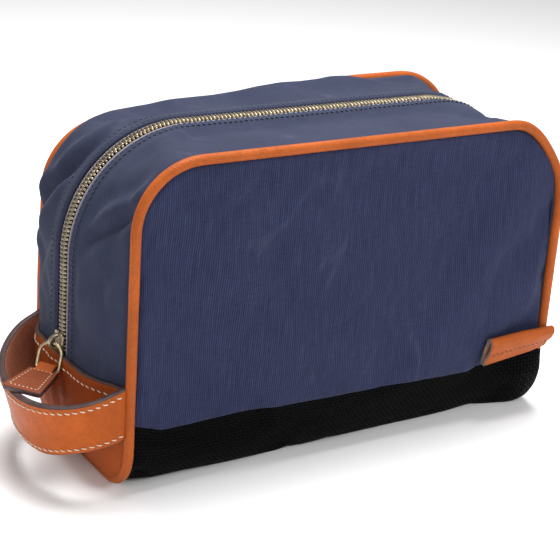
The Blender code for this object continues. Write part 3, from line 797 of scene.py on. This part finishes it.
def end_folds(grid, sign):
    """Soft folds on the gusset: round the top corners and down the handle end."""
    x, y, z = grid[..., 0], grid[..., 1], grid[..., 2]
    depth = np.abs(y) / HALF_DEPTH
    left = ease((-x - 52.0) / 50.0)
    if sign > 0.0:
        slant = (z - 133.0) * 0.80 + (np.abs(y) - 26.0) * 1.0
        reach = left * ease((z - 62.0) / 50.0) * ease((depth - 0.16) / 0.2)
        waves = ((13.0, 6.0, 3.2), (2.0, 5.0, -6.0), (-9.0, 6.0, 2.8), (-24.0, 6.0, -2.2))
    else:
        slant = z - 147.0 + (1.0 - depth) * 40.0
        reach = left * ease((depth - 0.30) / 0.22)
        waves = ((7.0, 5.0, 2.0), (-2.0, 4.0, -3.0), (-26.0, 7.0, -1.5))
    fold = reach * sum(height * ridge(slant - place, width) for place, width, height in waves)
    fold += -1.7 * ridge(depth - 0.74, 0.09) * ease((-x - 110.0) / 12.0) * ease((z - 66.0) / 30.0)
    fold += -2.0 * ease((x - 70.0) / 34.0) * ease((z - 90.0) / 50.0) * ridge(depth - 0.55, 0.25)
    ripple = np.sin(x * 0.115 + depth * 2.0) * ease((depth - 0.35) / 0.3) * ease((z - 140.0) / 15.0)
    return (fold + 0.7 * ripple) * ease((1.0 - depth) / 0.16)


def puff(grid, sign):
    """How far the cloth swells up right beside the piped seam, and its dip into the seam."""
    x, z = grid[..., 0], grid[..., 2]
    outer = np.abs(grid[:, :1, 1])
    away = np.maximum(outer - np.abs(grid[..., 1]), 0.0)
    tall = 0.9
    if sign > 0.0:
        level = ease((z - 92.0) / 62.0) * (0.45 + 0.55 * ease((x + 118.0) / 45.0))
        tall = (1.7 + 6.0 * level) * (0.35 + 0.65 * ease((68.0 - x) / 34.0)) * ease((106.0 - x) / 16.0)
    return hump(away, PUFF_WIDTH) * ease((z - 58.0) / 20.0) * tall + groove(away)


def shaped_gusset(sign):
    flat = slump(gusset_grid(sign))
    rows, cols = flat.shape[:2]
    normal = grid_normals(flat) * -sign
    fade = edge_fade(rows, cols, 4.0, 5.0)
    loose = ease((np.abs(flat[..., 1]) - FOLD_END + 3.0) / 9.0)
    broad = wobble(flat, 40.0, 21.7 + sign, 3) * 1.2 + wobble(flat, 17.0, 31.0 + sign, 2) * 0.35
    grid = flat + normal * ((broad + end_folds(flat, sign)) * fade * loose + puff(flat, sign))[..., None]
    settled = relaxed("gusset_cloth", grid, 0.006, limit=3.0)
    grid = grid + (settled - grid) * loose[..., None]
    return grid


def seam_line(sign):
    """Half of the piped seam, from the middle of one end's base to the other's."""
    turns = np.radians(np.linspace(270.0, 180.0, 24))
    bend_y = HALF_DEPTH - BASE_ROUND - BASE_ROUND * np.cos(turns)
    bend_z = SEAM_FLOOR + BASE_ROUND + BASE_ROUND * np.sin(turns)
    side = np.stack([np.concatenate([[0.0], bend_y]), np.concatenate([[SEAM_FLOOR], bend_z])], axis=1)
    left = [(-HALF_LENGTH, sign * y, z) for y, z in side]
    turn = (-HALF_LENGTH + CORNER_LEFT, HEIGHT - CORNER_LEFT)
    left += [(x, sign * HALF_DEPTH, z) for x, z in arc(turn, CORNER_LEFT, CORNER_LEFT, 180, 90, 30)]
    turn = (HALF_LENGTH - CORNER_RIGHT, HEIGHT - CORNER_RIGHT)
    right = [(x, sign * HALF_DEPTH, z) for x, z in arc(turn, CORNER_RIGHT, CORNER_RIGHT, 90, 0, 30)]
    right += [(HALF_LENGTH, sign * y, z) for y, z in side[::-1]]
    line = resample(left + right, 420)
    for _ in range(3):
        line[1:-1] = (line[:-2] + 2.0 * line[1:-1] + line[2:]) / 4.0
    return slump(line)


STRIP = shaped_strip()
GUSSET = {-1.0: shaped_gusset(-1.0), 1.0: shaped_gusset(1.0)}
SIDES = (("front", -1.0), ("back", 1.0))


def sample(grid, row, col):
    """A point on a grid at fractional row and column places."""
    rows, cols = grid.shape[:2]
    row = np.clip(np.asarray(row, float), 0.0, rows - 1.001)
    col = np.clip(np.asarray(col, float), 0.0, cols - 1.001)
    r, c = row.astype(int), col.astype(int)
    a, b = (row - r)[..., None], (col - c)[..., None]
    near = grid[r, c] * (1.0 - b) + grid[r, c + 1] * b
    far = grid[r + 1, c] * (1.0 - b) + grid[r + 1, c + 1] * b
    return near * (1.0 - a) + far * a


def make_main_strip():
    uv = grid_lengths(STRIP)
    down, up = slice(0, CANVAS_ROWS), slice(-CANVAS_ROWS, None)
    under = slice(CANVAS_ROWS - 3, 3 - CANVAS_ROWS)
    front = skin("canvas_front", STRIP[:, down], -CANVAS_THICK, 0.0, -1.0, uv[:, down])
    back = skin("canvas_back", STRIP[:, up], -CANVAS_THICK, 0.0, -1.0, uv[:, up])
    middle = STRIP[:, under]
    rise = np.full(middle.shape[:2], -0.12)
    rise[:, 3:-3] = 0.10
    rise[:, :2] = -1.0
    rise[:, -2:] = -1.0
    nylon = skin("nylon_base", middle, -NYLON_THICK, rise, -1.0, uv[:, under])
    deep = -STRIP_LINING_DEPTH
    lining = skin("strip_lining", STRIP[::2, ::2], deep, deep + LINING_THICK, -1.0, uv[::2, ::2])
    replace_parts(dress(front, CANVAS), "front_canvas_panel")
    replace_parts(dress(back, CANVAS), "back_canvas_panel")
    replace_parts(dress(nylon, NYLON), "base_panel")
    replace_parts(dress(lining, LINING), "main_lining")


def make_gussets():
    for label, sign in SIDES:
        grid = GUSSET[sign]
        reach = np.abs(grid[..., 1])
        doubled = ease((FOLD_END - reach) / 0.9) * 0.75
        rounded = ease((reach - FOLD_EDGE[sign]) / 1.1)
        high = doubled * (0.25 + 0.75 * rounded)
        cloth = skin("canvas_gusset_" + label, grid, -CANVAS_THICK, high, -sign)
        deep = -GUSSET_LINING_DEPTH
        lining = skin("lining_gusset_" + label, grid[::2, 1:20:2], deep, deep + LINING_THICK, -sign)
        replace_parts(dress(cloth, CANVAS_GUSSET), "gusset_" + label)
        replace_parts(dress(lining, LINING), "gusset_lining_" + label)


def gusset_line(sign, distance, first=0, last=None, lift=0.0):
    """A line on the gusset at a distance from the zipper's middle, with its normals."""
    grid = GUSSET[sign][first:last]
    normal = grid_normals(grid) * -sign
    points, normals = [], []
    for row, ways in zip(grid, normal):
        reach = np.abs(row[:, 1])
        place = np.interp(distance, reach[::-1], np.arange(len(reach))[::-1])
        c = min(int(place), len(row) - 2)
        share = place - c
        points.append(row[c] * (1.0 - share) + row[c + 1] * share)
        normals.append(ways[c] * (1.0 - share) + ways[c + 1] * share)
    normals = np.array(normals)
    return np.array(points) + normals * lift, normals


def patch_rows():
    """How many gusset stations lie under an end patch, at the left and at the right."""
    level = GUSSET[-1.0][:, 12, 2]
    half = len(level) // 2
    return int((level[:half] < PATCH_TOP).sum()), int((level[half:] < PATCH_TOP).sum())


def make_topstitching():
    left, right = patch_rows()
    for label, sign in SIDES:
        for number, distance in enumerate((FOLD_EDGE[sign] + 1.9, FOLD_END - 1.3)):
            points, normals = gusset_line(sign, distance, left, -right, 0.72)
            row = stitches(f"zip_stitches_{label}_{number}", points, normals, 2.9, 2.1, 0.30)
            dress(row, NAVY_THREAD)


def make_piping():
    for label, sign in SIDES:
        line = seam_line(sign)
        size = 1.0 + 0.035 * wobble(line[None], 22.0, 50.0 + sign)[0]
        cord = tube("piping_cord_" + label, line, PIPE, 16, scale=size)
        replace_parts(dress(cord, LEATHER), "piping_" + label)


def zip_center():
    """The zipper's middle line with tangents and outward normals."""
    _, middle = rails(GUSSET_STATIONS)
    flat = np.stack([middle[:, 0], np.zeros(len(middle)), middle[:, 1]], axis=1)
    line = slump(flat)
    first = GUSSET[-1.0][:, -1]
    second = GUSSET[1.0][:, -1]
    line = (first + second) / 2.0 * 0.85 + line * 0.15
    line[:, 1] = (first[:, 1] + second[:, 1]) / 2.0
    tangent = unit(np.gradient(line, axis=0))
    return line, tangent, unit(-np.cross((0.0, 1.0, 0.0), tangent))


def make_zipper():
    line, tangent, normal = zip_center()
    across = np.array((0.0, 1.0, 0.0))
    for label, sign in SIDES:
        grid = np.stack([line + across * sign * out - normal * deep for out, deep in TAPE_PROFILE], axis=1)
        tape = skin("tape_" + label, grid, -0.7, 0.0, -sign)
        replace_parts(dress(tape, TAPE), "zipper_tape_" + label)
        out, deep, radius = TAPE_CORD
        cord = tube("tape_cord_" + label, line + across * sign * out - normal * deep, radius, 8)
        dress(cord, TAPE)
    travel = travel_of(line)
    start = np.interp(SLIDER_LEVEL - 4.0, line[:40, 2], travel[:40])
    places = np.arange(start, travel[-1] - ZIP_END_GAP, TOOTH_PITCH)
    corner = circle(1.0, 8)
    corner = np.sign(corner) * np.abs(corner) ** 0.6
    made = {-1.0: [], 1.0: []}
    for k, place in enumerate(places):
        sign = -1.0 if k % 2 else 1.0
        at, way, up = (points_at(rows, travel, place) for rows in (line, tangent, normal))
        points = []
        for distance, wide, tall in TOOTH_SECTIONS:
            for a, b in corner:
                points.append(at + across * sign * distance + way * a * wide + up * (b * tall - 0.55))
        faces = capped_faces(len(TOOTH_SECTIONS), len(corner))
        made[sign].append((points, faces, [(0.0, 0.0)] * len(points)))
    for label, sign in SIDES:
        teeth = joined("teeth_" + label, made[sign])
        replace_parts(dress(teeth, BRASS), "zipper_teeth_" + label)


def make_patches():
    """Leather patches over both ends, one piece each, wrapped over the gusset below the zipper."""
    left, right = patch_rows()
    for label, picked in (("left", slice(0, left + 1)), ("right", slice(-right - 1, None))):
        front = GUSSET[-1.0][picked]
        back = GUSSET[1.0][picked]
        grid = np.concatenate([front, back[:, ::-1]], axis=1)
        if label == "right":
            grid = grid[::-1]
        rows, cols = grid.shape[:2]
        dense = (np.linspace(0, rows - 1, rows * 2), np.linspace(0, cols - 1, 90))
        grid = sample(grid, *np.meshgrid(*dense, indexing="ij"))
        for _ in range(6):
            grid[:, 1:-1] = (grid[:, :-2] + 2.0 * grid[:, 1:-1] + grid[:, 2:]) / 4.0
        top = grid[-1, :, 2]
        level = (grid[..., 2] - grid[0, :, 2]) / (top - grid[0, :, 2])
        grid[..., 2] += level * (PATCH_TOP - top) * ease(level)
        sign = 1.0 if label == "left" else -1.0
        y = grid[..., 1]
        crease = 0.5 * ridge(np.abs(y) - 7.5, 3.0) - 0.9 * ridge(y, 2.6)
        thick = np.full(grid.shape[:2], PATCH_THICK) + crease
        thick[-1] -= 0.45
        thick[-2] -= 0.12
        patch = skin("patch_" + label, grid, 0.35, thick, sign)
        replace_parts(dress(patch, LEATHER_DEEP), "end_patch_" + label)
        normal = grid_normals(grid) * sign
        over = normal[-1]
        rim = grid[-1] + over * PATCH_EDGE
        up = np.cross(over, unit(np.gradient(rim, axis=0))) * -sign
        edge = sweep("patch_edge_" + label, rim, over, up, circle(PATCH_EDGE, 10, 0.5))
        dress(edge, EDGE)
        sewn_row = (-6, slice(3, -3))
        path = grid[sewn_row] + normal[sewn_row] * (thick[sewn_row] + 0.05)[:, None]
        row = stitches("patch_stitches_" + label, path, normal[sewn_row], 3.6, 2.5, 0.33)
        dress(row, CREAM)


make_main_strip()
make_gussets()
make_topstitching()
make_piping()
make_zipper()
make_patches()


# ---------------------------------------------------------------- handle
def strap_frames():
    """Centres, outward ways and width ways round the handle's loop."""
    count = 120
    turns = np.radians(np.linspace(-88.5, 88.5, count))
    out = STRAP_REACH * np.cos(turns)
    share = np.clip(out / STRAP_REACH, 0.0, 1.0)
    tilt = STRAP_TILT * ease(out / 13.0)
    y = (HALF_DEPTH - 2.4) * np.sin(turns) + STRAP_SKEW * share
    x = -HALF_LENGTH - out * np.cos(tilt) + 0.3
    z = STRAP_LEVEL - out * np.sin(STRAP_TILT) * ease(out / 5.0)
    centers = np.stack([x, y, z], axis=1)
    width = np.stack([-np.sin(tilt), np.zeros(count), np.cos(tilt)], axis=1)
    outside = unit(np.cross(width, unit(np.gradient(centers, axis=0))))
    near = ease((-y - 26.0) / 24.0)
    width = width * (1.0 - 0.13 * near)[:, None]
    centers = centers + np.outer(near, (0.0, 0.0, 1.6))
    return centers, outside, width


def dense_section(section):
    """The same outline with its straight runs over 3 mm divided."""
    points = []
    for k, here in enumerate(section):
        after = section[(k + 1) % len(section)]
        gap = math.dist(here, after)
        parts = max(1, int(gap / 3.0))
        for j in range(parts):
            share = j / parts
            points.append((here[0] + (after[0] - here[0]) * share, here[1] + (after[1] - here[1]) * share))
    return points


def rounded_slab(low, high, half_width, bevel):
    """A strap's section with its four corners rounded."""
    points = []
    corners = ((high - bevel, half_width - bevel, 0.0), (low + bevel, half_width - bevel, 90.0),
               (low + bevel, -half_width + bevel, 180.0), (high - bevel, -half_width + bevel, 270.0))
    for u, v, start in corners:
        for t in np.radians(np.linspace(start, start + 90.0, 4)):
            points.append((u + bevel * math.cos(t), v + bevel * math.sin(t)))
    return dense_section(points)


def blend_handle(item):
    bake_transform(item)


def make_handle():
    centers, outside, width = strap_frames()
    half = STRAP_WIDTH / 2.0
    outer = sweep("strap_outer", centers, outside, width, rounded_slab(0.0, STRAP_OUTER, half, STRAP_BEVEL))
    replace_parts(dress(outer, LEATHER_STRAP, ride=False), "handle_outer")
    blend_handle(outer)
    section = rounded_slab(-STRAP_LINING, -0.02, half, STRAP_BEVEL)
    inner = sweep("strap_lining", centers, outside, width, section)
    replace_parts(dress(inner, LEATHER_BROWN, ride=False), "handle_lining")
    blend_handle(inner)
    middle = (STRAP_OUTER - STRAP_LINING) / 2.0
    thick = (STRAP_OUTER + STRAP_LINING) / 2.0 - 0.1
    for label, side in (("top", 1.0), ("bottom", -1.0)):
        path = centers + outside * middle + width * side * (half - 0.1)
        rim = sweep("strap_edge_" + label, path, outside, width, circle(thick, 14, 0.38))
        dress(rim, EDGE, ride=False)
        blend_handle(rim)
        path = centers + outside * (STRAP_OUTER + 0.12) + width * side * (half - STRAP_SEAM)
        row = stitches("strap_stitches_" + label, path[3:-3], outside[3:-3], 3.6, 2.7, 0.36, 0.34)
        dress(row, CREAM, ride=False)
        blend_handle(row)


make_handle()


# ---------------------------------------------------------------- slider, ring and pull tab
ZIP_PLANE = -HALF_LENGTH - BULGE_LEFT
UP = np.array((0.0, 0.0, 1.0))
PIVOT = np.array((ZIP_PLANE - EYE_STAND, 0.0, SLIDER_LEVEL))
RING_SIDE = np.array((math.sin(RING_YAW), -math.cos(RING_YAW), 0.0))
RING_OUT = np.array((-math.cos(RING_YAW), -math.sin(RING_YAW), 0.0))
RING_DOWN = RING_OUT * math.sin(RING_LEAN) - UP * math.cos(RING_LEAN)
BAR = PIVOT + RING_DOWN * RING_DROP


def prism(name, points, uvs, bevel):
    """A closed slab from an outline followed by its matching one, with its edges rounded."""
    count = len(points) // 2
    faces = [list(range(count)), list(range(2 * count - 1, count - 1, -1))]
    faces += [[k, count + k, count + (k + 1) % count, (k + 1) % count] for k in range(count)]
    item = outward(make_object(name, points, faces, uvs))
    step = item.modifiers.new("bevel", "BEVEL")
    step.width = bevel * MM
    step.segments = 3
    return item


def plate(name, outline, low, high, bevel):
    """A slider plate: an outline in (y, z) drawn along X."""
    points = [(x, y, z) for x in (high, low) for y, z in outline]
    return prism(name, points, [p[1:] for p in points], bevel)


def slider_outline():
    low, high, wide = SLIDER_LEVEL - SLIDER_HALF, SLIDER_LEVEL + SLIDER_HALF, SLIDER_WIDE
    right = [(wide * 0.62, low), (wide * 0.72, low + 1.4), (wide * 0.80, SLIDER_LEVEL - 1.0),
             (wide, high - 3.4), (wide * 0.98, high - 1.6), (wide * 0.78, high)]
    notch = [(0.9, high - 0.2), (0.0, high - 1.6), (-0.9, high - 0.2)]
    return right + notch + [(-y, z) for y, z in reversed(right)]


def make_slider():
    top = plate("slider_top", slider_outline(), ZIP_PLANE - 1.6, ZIP_PLANE - 0.35, 0.35)
    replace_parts(dress(top, BRASS, "slider"), "zipper_slider")
    pieces = [plate("slider_under", slider_outline(), ZIP_PLANE + 2.6, ZIP_PLANE + 3.6, 0.3)]
    foot, head = SLIDER_LEVEL, SLIDER_LEVEL + 4.0
    pieces.append(plate("slider_web", ((-0.4, foot), (0.4, foot), (0.4, head), (-0.4, head)),
                        ZIP_PLANE - 0.6, ZIP_PLANE + 2.8, 0.1))
    rim = ((3.3, -5.0), (3.75, -1.5), (4.35, 2.0), (4.2, 4.4))
    for label, side in SIDES:
        path = [(ZIP_PLANE - 0.9, side * wide, SLIDER_LEVEL + rise) for wide, rise in rim]
        pieces.append(tube("slider_flange_" + label, resample(path, 14), 0.62, 10))
    turns = np.radians(np.linspace(-8.0, 188.0, 26))
    stand = ZIP_PLANE - 1.2 - (EYE_STAND + 0.6) * np.sin(turns)
    path = np.stack([stand, np.zeros(26), SLIDER_LEVEL + 3.9 * np.cos(turns)], axis=1)
    side = np.tile((0.0, 1.0, 0.0), (26, 1))
    over = np.cross(path_frames(path)[0], side)
    pieces.append(sweep("slider_bridge", path, side, over, rounded_slab(-1.3, 1.3, 0.72, 0.35)))
    for piece in pieces:
        dress(piece, BRASS, "slider")


def ring_path():
    """An arch over the slider's bridge, straight legs, and the bar inside the tab's fold."""
    arch = RING_HALF * 0.86
    side, foot = RING_HALF - RING_BEND, RING_DROP - RING_BEND
    shape = np.concatenate([arc((0.0, arch), RING_HALF, -arch, 0, 180, 25),
                            arc((-side, foot), RING_BEND, -RING_BEND, 180, 270, 7),
                            arc((side, foot), RING_BEND, -RING_BEND, 270, 360, 7)])
    line = resample(np.concatenate([shape, shape[:1]]), 65)[:-1]
    return np.array([PIVOT + RING_SIDE * u + RING_DOWN * v for u, v in line])


def make_ring():
    ring = tube("ring_wire", ring_path(), WIRE, 12, closed=True)
    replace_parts(dress(ring, BRASS_RING, "ring"), "pull_ring")


TAB_OUT = RING_OUT * math.cos(TAB_DROOP) - UP * math.sin(TAB_DROOP)
TAB_UP = np.cross(TAB_OUT, RING_SIDE)
TAB_UP = TAB_UP if TAB_UP[2] > 0.0 else -TAB_UP


def tab_width(along):
    return TAB_ROOT + (TAB_END - TAB_ROOT) * max(0.0, along) / TAB_LENGTH


def tab_point(along, height, share):
    """A place on the tab: along it, above its middle, and -1 to 1 across its flared width."""
    curl = 0.5 * (along / TAB_LENGTH) ** 2
    return BAR + TAB_OUT * along + TAB_UP * (height + curl) + RING_SIDE * share * tab_width(along) / 2.0


def tab_plate(name, low, high, start, inset, bevel):
    """One leather ply of the tab with rounded corners."""
    spots = []
    length = TAB_LENGTH - inset
    for turn in np.radians(np.linspace(0.0, 90.0, 5)):
        back = TAB_CORNER * (math.sin(turn) - 1.0)
        spots.append((length + back, 1.0, TAB_CORNER * (math.cos(turn) - 1.0)))
    outline = [(start, 1.0, 0.0)] + spots
    outline += [(along, -1.0, side) for along, _, side in reversed(spots)] + [(start, -1.0, 0.0)]
    points = []
    for height in (high, low):
        for along, share, side in outline:
            place = tab_point(along, height, share)
            points.append(place + RING_SIDE * share * (side - inset))
    return prism(name, points, [(p[0], p[1]) for p in points], bevel)


def make_tab():
    top = tab_plate("tab_top", 0.25, TAB_THICK, 3.2, 0.0, 0.35)
    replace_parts(dress(top, LEATHER_TAB, "tab"), "pull_tab")
    under = tab_plate("tab_under", -TAB_THICK, -0.25, 3.2, 0.0, 0.35)
    dress(under, LEATHER_TAB, "tab")
    core = tab_plate("tab_edge", -1.15, 1.15, 3.0, -0.22, 0.45)
    dress(core, EDGE, "tab")
    turns = np.radians(np.linspace(-50.0, 230.0, 24))
    eye = [(-TAB_EYE * math.sin(t), TAB_EYE * math.cos(t)) for t in turns]
    profile = resample([(5.2, 1.0), (3.4, 1.25)] + eye + [(3.4, -1.25), (5.2, -1.0)], 44)
    centers = np.array([BAR + TAB_OUT * u + TAB_UP * v for u, v in profile])
    side = np.tile(RING_SIDE, (len(centers), 1))
    over = np.cross(path_frames(centers)[0], side)
    section = rounded_slab(-TONGUE_HALF_THICK, TONGUE_HALF_THICK, TONGUE_HALF_WIDE, 0.3)
    tongue = sweep("tab_tongue", centers, over, side, section)
    dress(tongue, LEATHER, "tab")
    root, tip = 4.6, TAB_LENGTH - TAB_SEAM
    route = [(root, 1.0), (tip, 1.0), (tip, -1.0), (root, -1.0), (root, 1.0)]
    for label, height, way in (("top", TAB_THICK, 1.0), ("under", -TAB_THICK, -1.0)):
        for number, (here, after) in enumerate(zip(route[:-1], route[1:])):
            ends = []
            for along, share in (here, after):
                kept = 1.0 - 2.0 * TAB_SEAM / tab_width(along)
                ends.append(tab_point(along, height, share * kept))
            path = resample(ends, 12)
            up = np.tile(TAB_UP * way, (12, 1))
            row = stitches(f"tab_stitches_{label}_{number}", path, up, 2.1, 1.5, 0.24)
            dress(row, CREAM, "tab")


make_slider()
make_ring()
make_tab()


# ---------------------------------------------------------------- front loop tab
def loop_section():
    """The folded strap's middle line, in (y, z) from its sewn foot: up, over the fold and down."""
    inner = [(-0.9, 0.0), (-0.9, 4.5), (-1.6, 9.0), (-2.6, 12.2)]
    fold = list(arc((-4.1, 12.7), 1.6, 1.6, 30, 150, 5))
    outer = [(-6.2, 11.6), (-5.6, 8.0), (-3.6, 4.2), (-2.5, 0.0)]
    return inner + fold + outer


def make_loop_tab():
    hinge_y = -HALF_DEPTH - 1.0
    profile = resample(loop_section(), 40)
    rows = []
    for x in np.linspace(LOOP_LEFT, LOOP_RIGHT, 24):
        lean = 0.6 * math.sin((x - LOOP_LEFT) * 0.09)
        shift = 1.2 * float(ease((x - 112.0) / 14.0))
        share = (x - LOOP_LEFT) / (LOOP_RIGHT - LOOP_LEFT)
        tall = 1.06 - 0.30 * share + 0.03 * math.sin(x * 0.13)
        slip = 0.10 + 0.14 * float(ease((x - 100.0) / 24.0))
        foot = LOOP_BASE - 1.2 + 4.4 * share
        rows.append([(x + slip * z, hinge_y + y + shift + lean * z * 0.03, foot + z * tall)
                     for y, z in profile])
    grid = np.array(rows)
    band = skin("loop_band", grid, -0.75, 0.05, 1.0)
    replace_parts(dress(band, LEATHER, "loop_tab"), "front_loop_tab")
    dress(skin("loop_band_inside", grid, 0.1, 0.75, 1.0), LEATHER_BROWN, "loop_tab")
    normal = grid_normals(grid)
    for label, column in (("left", 0), ("right", -1)):
        rim = grid[column]
        across = np.tile((1.0, 0.0, 0.0), (len(rim), 1))
        edge = sweep("loop_edge_" + label, rim, normal[column], across, circle(0.82, 10, 0.35))
        dress(edge, EDGE_PALE, "loop_tab")
    sewn_row = 31
    outside = normal[:, sewn_row] * (1.0 if normal[0, sewn_row, 1] < 0.0 else -1.0)
    path = grid[:, sewn_row] + outside * 0.78
    row = stitches("loop_stitches", path[1:-1], outside[1:-1], 3.0, 2.2, 0.28)
    dress(row, BROWN_THREAD, "loop_tab")


make_loop_tab()


# ---------------------------------------------------------------- zipper stops kept from the frame
for node in ("zipper_top_stop_front", "zipper_top_stop_back", "zipper_bottom_stop"):
    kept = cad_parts[node]
    kept.data.materials.clear()
    kept.data.materials.append(BRASS)


# ---------------------------------------------------------------- floor, light and camera
def make_floor():
    corners = [(x * FLOOR_HALF, y * FLOOR_HALF, 0.0) for x, y in ((-1, -1), (1, -1), (1, 1), (-1, 1))]
    floor = make_object("floor", corners, [[0, 1, 2, 3]])
    graph = Graph("floor_paper")
    graph.finish((0.96, 0.96, 0.96, 1.0), 0.9)
    floor.data.materials.append(graph.material)


def area_light(name, place, aim, size, power):
    data = bpy.data.lights.new(name, "AREA")
    data.shape = "DISK"
    data.size = size * MM
    data.energy = power
    item = bpy.data.objects.new(name, data)
    item.location = Vector(place) * MM
    item.rotation_euler = (Vector(aim) - Vector(place)).to_track_quat("-Z", "Y").to_euler()
    bpy.context.collection.objects.link(item)


def make_lights():
    world = bpy.data.worlds.new("studio")
    world.use_nodes = True
    background = world.node_tree.nodes["Background"]
    background.inputs["Color"].default_value = (1.0, 1.0, 1.0, 1.0)
    background.inputs["Strength"].default_value = WORLD_LIGHT
    bpy.context.scene.world = world
    bpy.context.scene.view_settings.view_transform = "Standard"
    for settings in LIGHTS:
        area_light(*settings)


def make_camera():
    yaw, pitch = CAMERA_YAW, CAMERA_PITCH
    back = Vector((math.sin(yaw) * math.cos(pitch), -math.cos(yaw) * math.cos(pitch), math.sin(pitch)))
    right = Vector((math.cos(yaw), math.sin(yaw), 0.0))
    up = back.cross(right)
    turned_right = math.cos(CAMERA_ROLL) * right + math.sin(CAMERA_ROLL) * up
    turned_up = -math.sin(CAMERA_ROLL) * right + math.cos(CAMERA_ROLL) * up
    aim = Vector((0.0, 0.0, CAMERA_AIM[2])) + right * CAMERA_AIM[0] + up * CAMERA_AIM[1]
    data = bpy.data.cameras.new("camera")
    data.lens = CAMERA_LENS
    data.sensor_width = 36.0
    item = bpy.data.objects.new("camera", data)
    bpy.context.collection.objects.link(item)
    item.matrix_world = Matrix.Translation((aim + back * CAMERA_DISTANCE) * MM) @ Matrix(
        [(turned_right[k], turned_up[k], back[k], 0.0) for k in range(3)] + [(0.0, 0.0, 0.0, 1.0)]
    )
    data.clip_start = 0.01
    bpy.context.scene.camera = item


make_floor()
make_lights()
make_camera()
